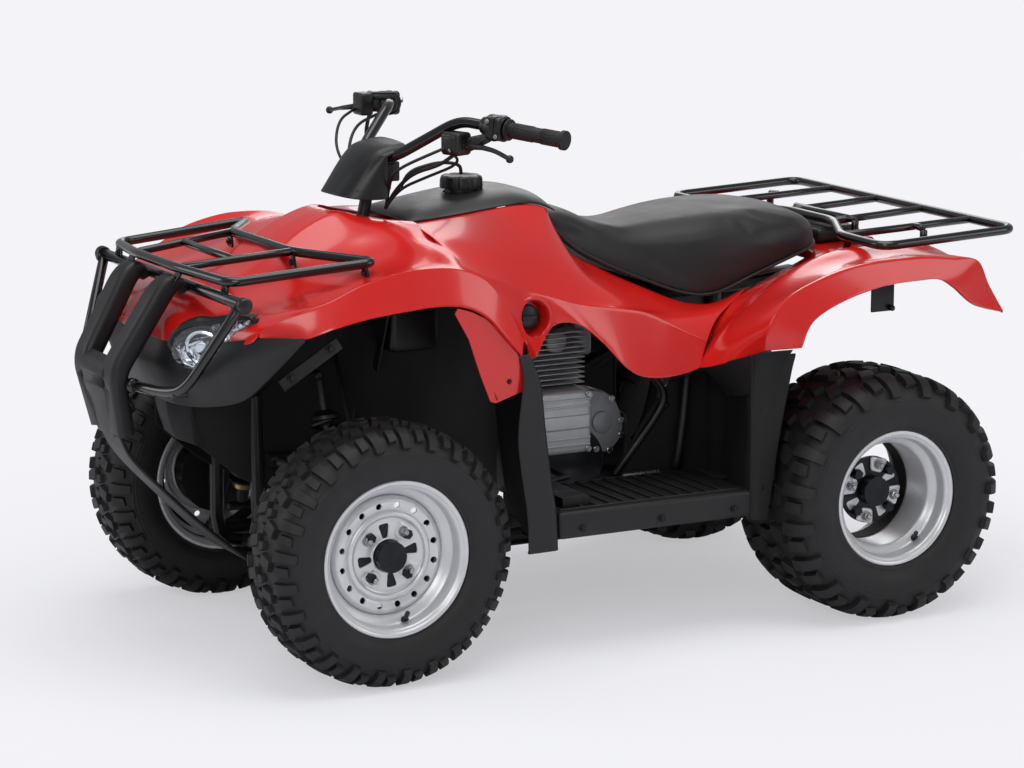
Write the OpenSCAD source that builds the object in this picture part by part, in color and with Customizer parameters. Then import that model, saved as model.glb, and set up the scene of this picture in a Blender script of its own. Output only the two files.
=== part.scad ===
// Utility quad bike with racks, on four balloon tyres.
// Origin on the ground under the middle of the vehicle; forward is -Y, its left side is +X, +Z is up.

/* [Overall] */
// Distance between the front and the rear axle
wheelbase = 1131; // [1000:1:1300]
// Front axle to the foremost point of the bumper
front_overhang = 427; // [400:1:460]
// Rear axle to the end of the rear rack
rear_overhang = 346; // [330:1:380]
// Distance between the middles of the front tyres
front_tread = 815; // [700:1:900]
// Distance between the middles of the rear tyres
rear_tread = 780; // [700:1:900]

/* [Wheels] */
// Radius of every tyre on its knobs
tyre_r = 258; // [230:1:290]
// Width of a front tyre
front_tyre_w = 178; // [160:1:190]
// Width of a rear tyre
rear_tyre_w = 254; // [220:1:264]
// Bead radius of a front rim
front_rim_r = 140; // [130:1:150]
// Bead radius of a rear rim
rear_rim_r = 127; // [118:1:140]
// Width of a front rim between its lips
front_rim_w = 150; // [130:1:158]
// Width of a rear rim between its lips
rear_rim_w = 216; // [190:1:220]
// Height of the rims' lips above the bead seats
rim_lip = 13; // [9:1:15]
// Sheet thickness of the rims
rim_wall = 4; // [3:0.5:6]
// Radius of the circle of wheel studs
stud_circle_r = 55; // [50:1:60]

/* [Steering] */
// Radius of the steering stem
stem_r = 12.5; // [10:0.5:16]
// Lean of the stem and kingpins from upright, towards the back at the top
rake = 12; // [6:1:18]
// Length of the pitman arm and of each knuckle's steering arm
steer_arm = 72; // [60:1:85]
// Distance of each kingpin inwards from the middle of its tyre
kingpin_offset = 67.5; // [62:0.5:87]
// Radius of the tie rods
tie_rod_r = 7; // [5:0.5:9]

/* [Axles] */
// Radius of the front wheel spindles
spindle_r = 12; // [10:0.5:15]
// Radius of the rear axle shaft
axle_r = 16; // [14:0.5:20]
// Radial running gap of every shaft and pin in its bore
running_gap = 0.4; // [0.2:0.1:0.6]

/* [Frame and racks] */
// Radius of the main frame tubes
frame_r = 14; // [12:0.5:18]
// Radius of the rack and bumper tubes
rack_r = 9.5; // [8:0.5:12]
// Height of the lower frame rails' middles
rail_z = 178; // [170:1:190]
// Half the distance between the lower frame rails
rail_x = 105; // [90:1:120]
// Radius of the hole in the towing plate
hitch_r = 8; // [6:0.5:10]
// Thickness of the towing plate
hitch_t = 8; // [6:1:12]

/* [Body] */
// Thickness of the plastic panels
panel_t = 3.5; // [3:0.5:5]
// Radius of the handlebar tube
bar_r = 11; // [10:0.5:12.7]
// Radius of the grips
grip_r = 16; // [14:0.5:18]
// Radius of the fuel cap
fuel_cap_r = 44; // [38:1:50]

/* [Hidden] */
$fn = 48;
panel_red = "#d5121d";
matte_black = "#1d1e20";
gloss_black = "#0d0d0e";
silver = "#b9bcc0";
steel = "#8d9197";
rubber = "#19191a";

front_y = -(front_overhang + wheelbase + rear_overhang) / 2 + front_overhang;
rear_y = front_y + wheelbase;
front_x = front_tread / 2;
kingpin_x = front_x - kingpin_offset;
rear_x = rear_tread / 2;
clear = 0.3;
slip = 0.15;

// Places given from the front axle, from the rear axle, or along the span between them
function fa(dy) = front_y + dy;
function ra(dy) = rear_y + dy;
function mid(t) = front_y + t * wheelbase;

function unit(v) = v / norm(v);
function smooth(t) = let (u = min(max(t, 0), 1)) u * u * (3 - 2 * u);
function mix(a, b, t) = a + (b - a) * t;

// Smooth curve through a list of points, read at t from 0 to 1
function along(points, t) =
    let (last = len(points) - 1, s = min(max(t, 0), 1) * last, i = min(floor(s), last - 1), u = s - i,
         a = points[max(i - 1, 0)], b = points[i], c = points[i + 1], d = points[min(i + 2, last)])
    0.5 * (2 * b + (c - a) * u + (2 * a - 5 * b + 4 * c - d) * u * u + (3 * b - a - 3 * c + d) * u * u * u);

// A path of straight stretches whose corners are rounded over the length reach
function rounded(points, reach, steps = 4) =
    concat([points[0]],
        [for (i = [1 : len(points) - 2])
            let (p = points[i], a = points[i - 1] - p, b = points[i + 1] - p,
                 ra = min(reach, norm(a) * 0.48), rb = min(reach, norm(b) * 0.48),
                 from = p + unit(a) * ra, to = p + unit(b) * rb)
            for (k = [0 : steps]) let (u = k / steps)
                from * (1 - u) * (1 - u) + p * 2 * u * (1 - u) + to * u * u],
        [points[len(points) - 1]]);

function looped(points, reach, steps = 4) =
    let (n = len(points),
         open = rounded(concat([points[n - 1]], points, [points[0]]), reach, steps))
    [for (i = [1 : len(open) - 2]) open[i]];

function circle_section(r, sides = 10) =
    [for (k = [0 : sides - 1]) [r * cos(360 * k / sides), r * sin(360 * k / sides)]];

function box_section(w, h, c) =
    [for (k = [0 : 3]) for (q = [0 : 2])
        let (sx = (k == 0 || k == 3) ? 1 : -1, sy = k < 2 ? 1 : -1, a = 90 * k + 45 * q)
        [sx * (w / 2 - c) + c * cos(a), sy * (h / 2 - c) + c * sin(a)]];

// A closed solid swept by a section along a route. The section's first axis leans to "side", and is
// stretched along it from the first to the second of "widths"
module sweep(route, section, closed = false, side = [1, 0, 0], widths = [1, 1]) {
    m = len(route);
    n = len(section);
    rings = [for (i = [0 : m - 1])
        let (before = closed ? route[(i + m - 1) % m] : route[max(i - 1, 0)],
             after = closed ? route[(i + 1) % m] : route[min(i + 1, m - 1)],
             t = unit(after - before), u = unit(cross(t, side)), s = cross(u, t),
             w = mix(widths[0], widths[1], i / m))
        for (p = section) route[i] + p[0] * w * s + p[1] * u];
    spans = closed ? m : m - 1;
    walls = [for (i = [0 : spans - 1]) for (j = [0 : n - 1])
        let (a = i * n + j, b = i * n + (j + 1) % n, c = ((i + 1) % m) * n + j,
             d = ((i + 1) % m) * n + (j + 1) % n)
        each [[a, c, d], [a, d, b]]];
    ends = closed ? [] : [[for (j = [0 : n - 1]) j], [for (j = [n - 1 : -1 : 0]) (m - 1) * n + j]];
    polyhedron(points = rings, faces = concat(walls, ends));
}

// A straight round bar between two points
module bar(a, b, r) {
    v = b - a;
    translate(a)
        rotate([0, acos(v[2] / norm(v)), atan2(v[1], v[0])])
            cylinder(r = r, h = norm(v));
}

// A thin shell on a grid of points; its wall is laid to the side away from the grid's normal
module shell(grid, wall) {
    m = len(grid);
    n = len(grid[0]);
    inner = [for (i = [0 : m - 1]) for (j = [0 : n - 1])
        let (di = grid[min(i + 1, m - 1)][j] - grid[max(i - 1, 0)][j],
             dj = grid[i][min(j + 1, n - 1)] - grid[i][max(j - 1, 0)])
        grid[i][j] - wall * unit(cross(di, dj))];
    outer = [for (row = grid) each row];
    k = m * n;
    skin = [for (i = [0 : m - 2]) for (j = [0 : n - 2])
        let (a = i * n + j, b = a + 1, c = a + n, d = c + 1)
        each [[a, b, d], [a, d, c], [k + a, k + d, k + b], [k + a, k + c, k + d]]];
    rows = [for (i = [0 : m - 2]) let (a = i * n, b = a + n - 1)
        each [[a, a + n, k + a + n], [a, k + a + n, k + a], [b, k + b + n, b + n], [b, k + b, k + b + n]]];
    columns = [for (j = [0 : n - 2]) let (a = j, b = (m - 1) * n + j)
        each [[a, k + a + 1, a + 1], [a, k + a, k + a + 1], [b, b + 1, k + b + 1], [b, k + b + 1, k + b]]];
    polyhedron(points = concat(outer, inner), faces = concat(skin, rows, columns));
}

// Both sides of the vehicle
module pair() {
    children();
    mirror([1, 0, 0]) children();
}

module on_right() { mirror([1, 0, 0]) children(); }

// ---- Wheels ----

// A tyre: carcass with a round crown, flat sidewalls and two beads, open to the rim inside
module tyre(x, y, w, bead_r, rim_w) {
    h = tyre_r - bead_r - rim_lip - 2;
    r0 = tyre_r - h;
    bead = rim_w / 2 - rim_wall - 3 - clear;
    skin = 12;
    n = 8;
    half = concat(
        [[bead_r, bead]],
        [for (k = [0 : n]) let (a = 90 * k / n) [r0 + 0.45 * h * (1 - cos(a)), mix(bead, w / 2, sin(a))]],
        [for (k = [1 : n]) let (a = 90 * k / n)
            [tyre_r - 0.36 * h + 0.36 * h * sin(a), w / 2 - 0.16 * w * (1 - cos(a))]]);
    inside = [for (p = half) if (p[0] > r0 + 8) [min(p[0], tyre_r - skin - 4), max(p[1] - skin, 2)]];
    translate([x, y, tyre_r])
        rotate([0, 90, 0])
            rotate_extrude($fn = 96)
                polygon(concat(
                    half,
                    [for (i = [len(half) - 1 : -1 : 0]) [half[i][0], -half[i][1]]],
                    [[bead_r, -bead + 16]],
                    [for (p = inside) [p[0], -p[1]]],
                    [for (i = [len(inside) - 1 : -1 : 0]) inside[i]],
                    [[bead_r, bead - 16]]));
}

// Section of a pressed wheel: lips, bead seats, drop centre, and the disc standing at disc_x
function rim_section(r, w, disc_x) =
    let (lip = rim_lip, c = w / 2, t = rim_wall, well = r - 16 - t)
    [[r + lip, -c], [r + lip, -c + t], [r - clear, -c + t + 3], [r - clear, -c + 32], [r - 14, -c + 44],
     [r - 14, c - 44],
     [r - clear, c - 32], [r - clear, c - t - 3], [r + lip, c - t], [r + lip, c],
     [r - t, c], [r - t - 2, c - 32], [well, c - 46],
     [well, disc_x - 12], [80, disc_x - 4], [72, disc_x + 5], [31, disc_x + 5],
     [31, disc_x + 5 - t], [71, disc_x + 5 - t], [79, disc_x - 4 - t], [well, disc_x - 12 - t],
     [well, -c + 46], [r - t - 2, -c + 32], [r - t, -c]];

// One window of the wheel disc
module disc_window(r_in, r_out, spread) {
    linear_extrude(60, center = true)
        polygon([for (q = [[r_in, -spread * 0.8], [r_out, -spread], [r_out, 0], [r_out, spread],
                           [r_in, spread * 0.8]])
            [q[0] * cos(q[1]), q[0] * sin(q[1])]]);
}

// A pressed wheel whose disc stands at disc_x from the rim's middle
module rim(x, y, r, w, disc_x, ring_holes) {
    translate([x, y, tyre_r])
        rotate([0, 90, 0])
            difference() {
                rotate_extrude($fn = 96) polygon(rim_section(r, w, disc_x));
                for (k = [0 : 3]) {
                    rotate(90 * k) translate([0, 0, disc_x]) disc_window(46, 70, 19);
                    rotate(90 * k + 45) translate([stud_circle_r, 0, disc_x - 20]) cylinder(r = 6, h = 40);
                }
                for (k = [0 : ring_holes - 1])
                    rotate(360 / max(ring_holes, 1) * k) translate([94, 0, disc_x - 30])
                        cylinder(r = 7.5, h = 50);
            }
}

front_disc_x = 28;
rear_disc_x = 12;

// The face of each rim's disc that sits on its hub
front_face_x = front_x + front_disc_x + 5 - rim_wall;
rear_face_x = rear_x + rear_disc_x + 5 - rim_wall;

module front_rim() {
    color(silver) rim(front_x, front_y, front_rim_r, front_rim_w, front_disc_x, 16);
}

module front_tyre() {
    color(rubber) tyre(front_x, front_y, front_tyre_w, front_rim_r, front_rim_w);
}

// Hub with its drum, studs and nuts, bored for the spindle
module front_hub() {
    color(steel)
        translate([0, front_y, tyre_r])
            rotate([0, 90, 0])
                difference() {
                    union() {
                        translate([0, 0, front_face_x - 50]) cylinder(r = 76, h = 38);
                        translate([0, 0, front_face_x - 20]) cylinder(r = 62, h = 16);
                        translate([0, 0, front_face_x - 8]) cylinder(r = 70, h = 8);
                        translate([0, 0, front_face_x - 8]) cylinder(r = 30.5, h = 34);
                        for (k = [0 : 3])
                            rotate(90 * k + 45) translate([stud_circle_r, 0, front_face_x - 1]) {
                                cylinder(r = 5.5, h = 12);
                                translate([0, 0, rim_wall + 1]) cylinder(r = 10, h = 12, $fn = 6);
                            }
                    }
                    translate([0, 0, front_face_x - 51]) cylinder(r = 66, h = 30);
                    translate([0, 0, front_face_x - 60]) cylinder(r = spindle_r + running_gap, h = 76);
                }
}

module rear_rims() {
    color(silver) pair() rim(rear_x, rear_y, rear_rim_r, rear_rim_w, rear_disc_x, 0);
}

module rear_tyre() {
    color(rubber) tyre(rear_x, rear_y, rear_tyre_w, rear_rim_r, rear_rim_w);
}

module rear_hubs() {
    color(steel)
        pair()
            translate([0, rear_y, tyre_r])
                rotate([0, 90, 0])
                    difference() {
                        union() {
                            translate([0, 0, rear_face_x - 60]) cylinder(r = 30, h = 56);
                            translate([0, 0, rear_face_x - 8]) cylinder(r = 70, h = 8);
                            translate([0, 0, rear_face_x - 8]) cylinder(r = 30.5, h = 32);
                            for (k = [0 : 3])
                                rotate(90 * k + 45) translate([stud_circle_r, 0, rear_face_x - 1]) {
                                    cylinder(r = 5.5, h = 12);
                                    translate([0, 0, rim_wall + 1]) cylinder(r = 10, h = 12, $fn = 6);
                                }
                        }
                        translate([0, 0, rear_face_x - 61]) cylinder(r = axle_r, h = 72);
                    }
}

module rear_axle() {
    drum_x = -150;
    color(steel)
        translate([0, rear_y, tyre_r])
            rotate([0, 90, 0])
                union() {
                    translate([0, 0, -rear_face_x - 11]) cylinder(r = axle_r, h = 2 * rear_face_x + 22);
                    translate([0, 0, drum_x - 50]) cylinder(r = 88, h = 50);
                }
}

// ---- Steering ----

stem_top = [0, fa(192), 968];
stem_axis = [0, sin(rake), cos(rake)];
stem_foot = stem_top - stem_axis * 740;
back_across = [0, cos(rake), -sin(rake)];
arm_h = 700;
pitman = stem_top - stem_axis * arm_h;
inner_ball = pitman + back_across * steer_arm + [22, 0, 0];
kingpin = [kingpin_x, front_y, tyre_r];
ball_half = 92;
ball_pin = 31;
ball_eye = 17;
arm_drop = (pitman - kingpin) * stem_axis;
outer_ball = kingpin + stem_axis * arm_drop + back_across * steer_arm;

// One knuckle: upright with its two ball pins, the spindle, the drum's backing plate and the steering arm
module knuckle() {
    lower = kingpin - stem_axis * ball_half;
    upper = kingpin + stem_axis * ball_half;
    color(gloss_black)
        union() {
            bar(lower - stem_axis * 2, upper + stem_axis * 2, 15);
            bar(lower - stem_axis * ball_pin, lower, 8);
            bar(upper, upper + stem_axis * ball_pin, 8);
            bar(kingpin, [front_face_x + 8, front_y, tyre_r], spindle_r);
            bar(kingpin, [front_face_x - 58, front_y, tyre_r], 30);
            bar([front_face_x - 62, front_y, tyre_r], [front_face_x - 57, front_y, tyre_r], 80);
            bar(kingpin + stem_axis * arm_drop, outer_ball, 8.5);
            bar(outer_ball - stem_axis * 9, outer_ball + stem_axis * 9, 12);
        }
}

// One tie rod with a flat eye at each end, above the arms that carry it
module tie_rod() {
    lift = stem_axis * 21;
    color(steel)
        union() {
            bar(inner_ball + lift, outer_ball + lift, tie_rod_r);
            bar(inner_ball + stem_axis * 9.4, inner_ball + stem_axis * 30, 9);
            bar(outer_ball + stem_axis * 9.4, outer_ball + stem_axis * 30, 10);
        }
}

module steering_stem() {
    clamp_h = 15;
    block = bar_r + clear + clamp_h;
    a = steer_arm;
    color(gloss_black)
        union() {
            bar(stem_foot, stem_top - stem_axis * block, stem_r);
            translate(pitman)
                rotate([-rake, 0, 0])
                    translate([0, 0, -8.5])
                        linear_extrude(17)
                            polygon([[-17, -15], [17, -15], [33, a - 8], [33, a + 12], [12, a + 12],
                                     [9, a - 24],
                                     [-9, a - 24], [-12, a + 12], [-33, a + 12], [-33, a - 8]]);
            translate(stem_top - stem_axis * block) rotate([-rake, 0, 0]) translate([-45, -16, -4])
                cube([90, 32, clamp_h + 4]);
        }
}

// Handlebar: the clamped middle, the rise, and a straight end that carries the controls and the grip
bar_end_in = [158, fa(303), 1046];
bar_end_out = [380, fa(414), 1025];
bar_dir = unit(bar_end_out - bar_end_in);
bar_rise = rounded([[40, fa(192), 968], [74, fa(201), 970], bar_end_in, bar_end_in + bar_dir * 60], 34, 5);

// A place on the straight end, measured from its inner corner
function on_bar(d) = bar_end_in + bar_dir * d;

module handlebar() {
    half = concat(bar_rise, [bar_end_out]);
    route = concat([for (i = [len(half) - 1 : -1 : 0]) [-half[i][0], half[i][1], half[i][2]]], half);
    color(gloss_black)
        sweep(route, circle_section(bar_r, 16), side = [0, 0, 1]);
}

grip_l = norm(bar_end_out - bar_end_in) - 120;

module along_bar(d) {
    translate(on_bar(d)) rotate([0, acos(bar_dir[2]), atan2(bar_dir[1], bar_dir[0])]) children();
}

module grips() {
    tube_r = bar_r + slip;
    end = grip_l + clear;
    color(rubber)
        pair()
            along_bar(120)
                rotate_extrude()
                    polygon([[tube_r, 0], [grip_r + 6, 0], [grip_r + 6, 4], [grip_r, 6], [grip_r, grip_l - 4],
                             [grip_r + 4, grip_l], [grip_r + 4, grip_l + 6], [grip_r, grip_l + 9],
                             [0, grip_l + 9],
                             [0, end], [tube_r, end]]);
}

// Switch box and lever perch on each side, with the brake master cylinder on the right
module hand_controls() {
    perch = 60;
    box = bar_end_in + [20, -18, -42];
    color(matte_black) {
        pair()
            along_bar(perch)
                difference() {
                    union() {
                        cylinder(r = bar_r + 7, h = 24);
                        translate([-25, -22, 12]) cube([50, 46, 44]);
                    }
                    translate([0, 0, -1]) cylinder(r = bar_r + slip, h = 62);
                }
        mirror([1, 0, 0])
            along_bar(perch) {
                translate([-20, -64, -2]) cube([40, 48, 38]);
                translate([-bar_r - 11.6, -46, -4]) cube([10, 62, 44]);
            }
        translate(box) cube([46, 42, 44], center = true);
        bar(box, on_bar(perch + 12) - [0, 0, bar_r + 10.5], 5);
    }
}

module levers() {
    left = [[196, fa(293), 998], [230, fa(311), 1001], [290, fa(312), 1000], [360, fa(312), 990]];
    right = [[-240, fa(280), 1036], [-270, fa(258), 1030], [-310, fa(263), 1024], [-360, fa(260), 1015]];
    color(gloss_black)
        for (path = [left, right])
            sweep(rounded(path, 20, 3), circle_section(5.5, 8), side = [0, 0, 1]);
}

module handlebar_cover() {
    line = [[0, fa(80), 888], [0, fa(127), 950], [0, fa(163), 984], [0, fa(194), 998], [0, fa(232), 1002]];
    rows = 12;
    grid = [for (i = [0 : rows]) let (p = along(line, i / rows), deep = max(12, min(95, fa(182) - p[1])))
        [for (j = [0 : 16]) let (a = -90 + 180 * j / 16)
            [88 * sign(sin(a)) * pow(abs(sin(a)), 0.7), p[1] + deep * (1 - pow(max(cos(a), 0), 0.7)),
             p[2] - 8 * sin(a) * sin(a)]]];
    color(matte_black) {
        shell(grid, panel_t);
        pair() bar([30, fa(136), 932], [26, fa(178), 950], 4);
    }
}

module control_cables() {
    foot = [[66, fa(206), 902], [52, fa(190), 864]];
    left = concat([[176, fa(285), 983], [150, fa(262), 958], [104, fa(226), 940]], foot);
    right = concat([[-243, fa(301), 1021], [-236, fa(288), 986], [-178, fa(262), 968], [-112, fa(226), 944]],
                   [for (p = foot) [-p[0], p[1], p[2]]]);
    color(rubber)
        for (path = [left, right])
            sweep(rounded(path, 40, 4), circle_section(4, 8), side = [0.3, 1, 0]);
}

// ---- Frame and suspension ----

deck_z = 297;
deck_t = 5;

module frame() {
    $fn = 10;
    lower = rounded([[95.3, fa(-120), 521], [rail_x, fa(-118), rail_z], [rail_x, ra(-300), rail_z],
                     [rail_x, ra(-215), 400],
                     [rail_x, ra(-200), 652.7]], 60, 3);
    upper = rounded([[95.7, fa(-132), 519], [70, fa(20), 620], [62, fa(150), 715], [62, mid(0.42), 705],
                     [112, mid(0.60), 655],
                     [112, ra(-160), 655], [112, ra(190), 690]], 60, 3);
    holder = stem_top - stem_axis * 225;
    foot = stem_top - stem_axis * 727;
    color(gloss_black)
        difference() {
            union() {
                pair() {
                    sweep(lower, circle_section(frame_r, 10));
                    sweep(upper, circle_section(frame_r - 1, 10), side = [1, 0, 0.01]);
                    bar([84, foot[1], foot[2]], [rail_x - 4, fa(30), rail_z], 9);
                    bar([rail_x - 9, fa(-60), 392], [rail_x - 9, fa(90), 392], 9);
                    bar([rail_x - 4, fa(90), 392], [66, fa(110), 690], 9);
                    bar([rail_x - 4, fa(90), 392], [rail_x, fa(42), rail_z], 9);
                    bar([rail_x - 9, fa(-60), 392], [rail_x - 5, fa(-119), 400], 9);
                }
                for (p = [[fa(-60), rail_z], [fa(100), rail_z], [mid(0.5), rail_z], [ra(-330), rail_z]])
                    bar([-rail_x, p[0], p[1]], [rail_x, p[0], p[1]], frame_r - 2);
                bar([-96, fa(-126), 515], [96, fa(-126), 515], frame_r - 1);
                bar([-112, ra(-180), 655], [112, ra(-180), 655], frame_r - 1);
                bar([-112, ra(165), 687.5], [112, ra(165), 687.5], frame_r - 1);
                bar([-rail_x, ra(-282), 230], [rail_x, ra(-282), 230], frame_r - 2);
                for (y = [fa(420), fa(690)])
                    pair() bar([rail_x, y, rail_z], [225, y, deck_z - deck_t - 7.2], 9);
                pair() {
                    bar([62, holder[1], holder[2] - 14], [62, fa(150), 708], 10);
                    bar([70, ra(-180), 655], [70, ra(-180), seat_pan_z - clear], 11);
                    bar([60, ra(165), 687], [60, ra(165), 719], 10);
                }
                bar([-62, holder[1], holder[2] - 14], [62, holder[1], holder[2] - 14], frame_r - 4);
                bar(holder - stem_axis * 22, holder + stem_axis * 14, stem_r + 9, $fn = 48);
                bar([-84, foot[1], foot[2]], [84, foot[1], foot[2]], frame_r - 4);
                bar(foot - stem_axis * 11, foot + stem_axis * 11, stem_r + 9, $fn = 48);
            }
            bar(holder - stem_axis * 60, holder + stem_axis * 60, stem_r + running_gap, $fn = 48);
            bar(foot - stem_axis * 30, foot + stem_axis * 30, stem_r + running_gap, $fn = 48);
        }
}

lower_ball = kingpin - stem_axis * (ball_half + ball_eye);
upper_ball = kingpin + stem_axis * (ball_half + ball_eye);
arm_base = 88;

// Upper and lower wishbones of both sides, with the eyes that hold the knuckles' pins
module front_arms() {
    pivots = [[lower_ball, rail_x + frame_r + 15.3, rail_z + 22], [upper_ball, rail_x + 15 + clear, 392]];
    color(gloss_black)
        pair() {
            for (arm = pivots)
                difference() {
                    union() {
                        for (s = [-1, 1])
                            bar([arm[1], front_y + s * arm_base, arm[2]], arm[0] - [17, -s * 2, 0], 11);
                        bar(arm[0] - stem_axis * 12, arm[0] + stem_axis * 12, 20);
                        bar([arm[1], front_y - arm_base - 16, arm[2]],
                            [arm[1], front_y + arm_base + 16, arm[2]], 15);
                    }
                    bar(arm[0] - stem_axis * 30, arm[0] + stem_axis * 30, 8 + running_gap);
                }
        }
}

module front_shocks() {
    foot = [kingpin_x - 90, fa(0), 222];
    head = [150, fa(-6), 560];
    dir = unit(head - foot);
    color(gloss_black)
        pair()
            union() {
                bar(foot, head, 12);
                bar(foot + dir * 60, head - dir * 90, 32);
                bar(head - dir * 90, head - dir * 20, 22);
                bar(head - [84, 0, 0], head + [8, 0, 0], 10);
                bar(foot - [0, 34, 6], foot + [0, 34, -6], 10);
                bar(foot - [0, 30, 6], foot - [0, 30, 36], 8);
                bar(foot + [0, 30, -6], foot + [0, 30, -36], 8);
            }
}

module swing_arm() {
    housing = axle_r + 20;
    color(gloss_black)
        difference() {
            union() {
                translate([-90, rear_y, tyre_r]) rotate([0, 90, 0]) cylinder(r = housing, h = 240);
                translate([-70, rear_y, tyre_r]) rotate([0, 90, 0]) cylinder(r = 82, h = 110);
                bar([-62, ra(-262), 300], [-62, rear_y, tyre_r], 24);
                bar([74, ra(-262), 300], [90, rear_y, tyre_r], 20);
                bar([-rail_x + 6, ra(-256), 300], [rail_x - 6, ra(-256), 300], 18);
                translate([-25, rear_y + 60, tyre_r - 60]) cube([50, 62, hitch_t]);
            }
            translate([-91, rear_y, tyre_r]) rotate([0, 90, 0]) cylinder(r = axle_r + running_gap, h = 242);
            translate([0, rear_y + 102, tyre_r - 70]) cylinder(r = hitch_r, h = 30);
        }
}

module rear_shock() {
    foot = [0, ra(-88), 330];
    head = [0, ra(-180), 636];
    dir = unit(head - foot);
    color(gloss_black)
        union() {
            bar(foot - dir * 50, head, 13);
            bar(foot + dir * 50, head - dir * 60, 34);
        }
}

// ---- Engine ----

// Foremost face of the crankcase
engine_y = mid(0.42);

module crankcase() {
    color(silver)
        union() {
            translate([-110, engine_y, 235]) cube([230, 250, 176.7]);
            translate([-60, engine_y + 75, rail_z + frame_r - 2 + clear]) cube([120, 30, 60]);
            translate([-118, engine_y + 92, 325]) rotate([0, 90, 0]) cylinder(r = 86, h = 272);
            translate([100, engine_y - 6, 345]) cube([72, 134, 136]);
            translate([90, engine_y + 120, 332]) cube([58, 92, 132]);
        }
}

module cylinder_block() {
    front = engine_y + 8;
    color(silver)
        union() {
            translate([-70, front + 6, 412]) cube([150, 108, 200]);
            for (k = [0 : 7])
                translate([-92, front, 488 + 16 * k]) cube([226, 124, 5]);
        }
}

module exhaust() {
    port = [-46, engine_y + 13, 470];
    color(steel)
        union() {
            sweep(rounded([port, port - [8, 52, 22], [-146, engine_y - 30, 430], [-152, mid(0.6), 420],
                           [-152, ra(-160), 556], [-152, ra(-130), 568]], 44, 4), circle_section(18, 10),
                           side = [0, 0.02, 1]);
            bar([-152, ra(-140), 566], [-154, ra(170), 594], 46);
            bar([-154, ra(170), 594], [-154, ra(205), 597], 20);
        }
}

// ---- Bumper, racks and guards ----

post_top = [97, fa(-295), 763];
post_kink = [74, fa(-408), 590];
post_foot = [52, fa(-382), 465];

module front_bumper() {
    color(matte_black)
        difference() {
            union() {
                pair()
                    sweep(rounded([post_top + [0, 30, -2], post_top + [0, 2, 2], post_kink, post_foot],
                                  26, 4),
                          box_section(44, 30, 8));
                translate([-62, fa(-426), 535]) cube([124, 24, 70]);
                translate([-50, fa(-408), 466]) cube([100, 30, 60]);
                pair() bar([52, fa(-370), 490], [93, fa(-128), 518], 10);
            }
            for (s = [-1, 1])
                translate([54 * s, fa(-420), 564]) rotate([90, 0, 0]) cylinder(r = 9, h = 60, center = true);
        }
}

module skid_plate() {
    sheet = 8;
    flat = rail_z - frame_r * cos(18) - sheet / 2 - clear;
    color(matte_black)
        sweep(rounded([[0, fa(-372), 452], [0, fa(-352), 410], [0, fa(-200), 250], [0, fa(-96), flat],
                       [0, mid(0.55), flat]],
                      70, 5), box_section(104, sheet, 3), widths = [1, 2.15]);
}

module bumper_tubes() {
    side = rounded([[78, fa(-385), 566], [200, fa(-352), 566], [255, fa(-335), 580],
                    [338, fa(-254), 750]], 34, 4);
    color(gloss_black)
        union() {
            bar([-363, fa(-254), 750], [363, fa(-254), 750], rack_r + 2);
            pair() sweep(side, circle_section(rack_r + 1, 10), side = [0, 0, 1]);
        }
}

module front_rack() {
    half = [[101, fa(-284), 789], [282, fa(-250), 782], [306, fa(47), 803], [145, fa(-58), 809]];
    loop = looped(concat(half, [for (i = [3 : -1 : 0]) [-half[i][0], half[i][1], half[i][2]]]), 26, 3);
    color(gloss_black)
        union() {
            sweep(loop, circle_section(rack_r, 8), closed = true, side = [0, 0, 1]);
            pair() {
                bar([108, fa(-276), 790], [145, fa(-58), 809], rack_r - 1.5);
                bar([268, fa(-252), 781], [268, fa(-254), 758], 8);
                bar([300, fa(20), 799], [300, fa(20), 776], 8);
                bar([150, fa(-60), 806], [150, fa(-60), 782], 8);
            }
            bar([-124, fa(-172), 799], [124, fa(-172), 799], rack_r - 1.5);
        }
}

module rear_rack() {
    back = ra(rear_overhang - rack_r - 1);
    half = [[88, ra(106), 770], [265, ra(8), 770], [420, ra(8), 768], [420, back, 781]];
    loop = looped(concat(half, [for (i = [3 : -1 : 0]) [-half[i][0], half[i][1], half[i][2]]]), 30, 3);
    color(gloss_black)
        union() {
            sweep(loop, circle_section(rack_r, 8), closed = true, side = [0, 0, 1]);
            for (x = [-88, 88]) bar([x, ra(106), 770], [x, back, 781], rack_r - 1.5);
            for (x = [-265, 265]) bar([x, ra(8), 770], [x, back, 781], rack_r - 1.5);
            pair() {
                bar([265, ra(30), 768], [250, ra(30), 735], 9);
                bar([300, ra(190), 776], [300, ra(190), 738], 9);
                bar([118, ra(140), 774], [112, ra(140), 694], 9);
                bar([300, ra(190), 776], [265, ra(190), 778], 8);
            }
            bar([-118, ra(140), 774], [118, ra(140), 774], 8);
        }
}

// ---- Body panels ----

// Front fender: the line over its middle, the crest over the wheel and the lower edge outside it
front_crown = [[0, fa(-322), 650], [0, fa(-308), 688], [0, fa(-255), 724], [0, fa(-175), 750],
               [0, fa(-112), 767],
               [0, fa(-45), 797], [0, fa(77), 862], [0, fa(150), 862], [0, fa(198), 858]];
front_crest = [[352, fa(-240), 688], [366, fa(-190), 726], [396, fa(-124), 752], [422, fa(-42), 788],
               [430, fa(40), 803],
               [430, fa(125), 804], [430, fa(178), 793], [430, fa(230), 764], [428, fa(268), 722],
               [426, fa(302), 648]];
front_edge = [[358, fa(-236), 684], [428, fa(-172), 684], [448, fa(-112), 704], [450, fa(-40), 719],
              [450, fa(40), 727],
              [450, fa(122), 731], [450, fa(170), 724], [450, fa(214), 700], [448, fa(254), 660],
              [444, fa(290), 622]];

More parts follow.
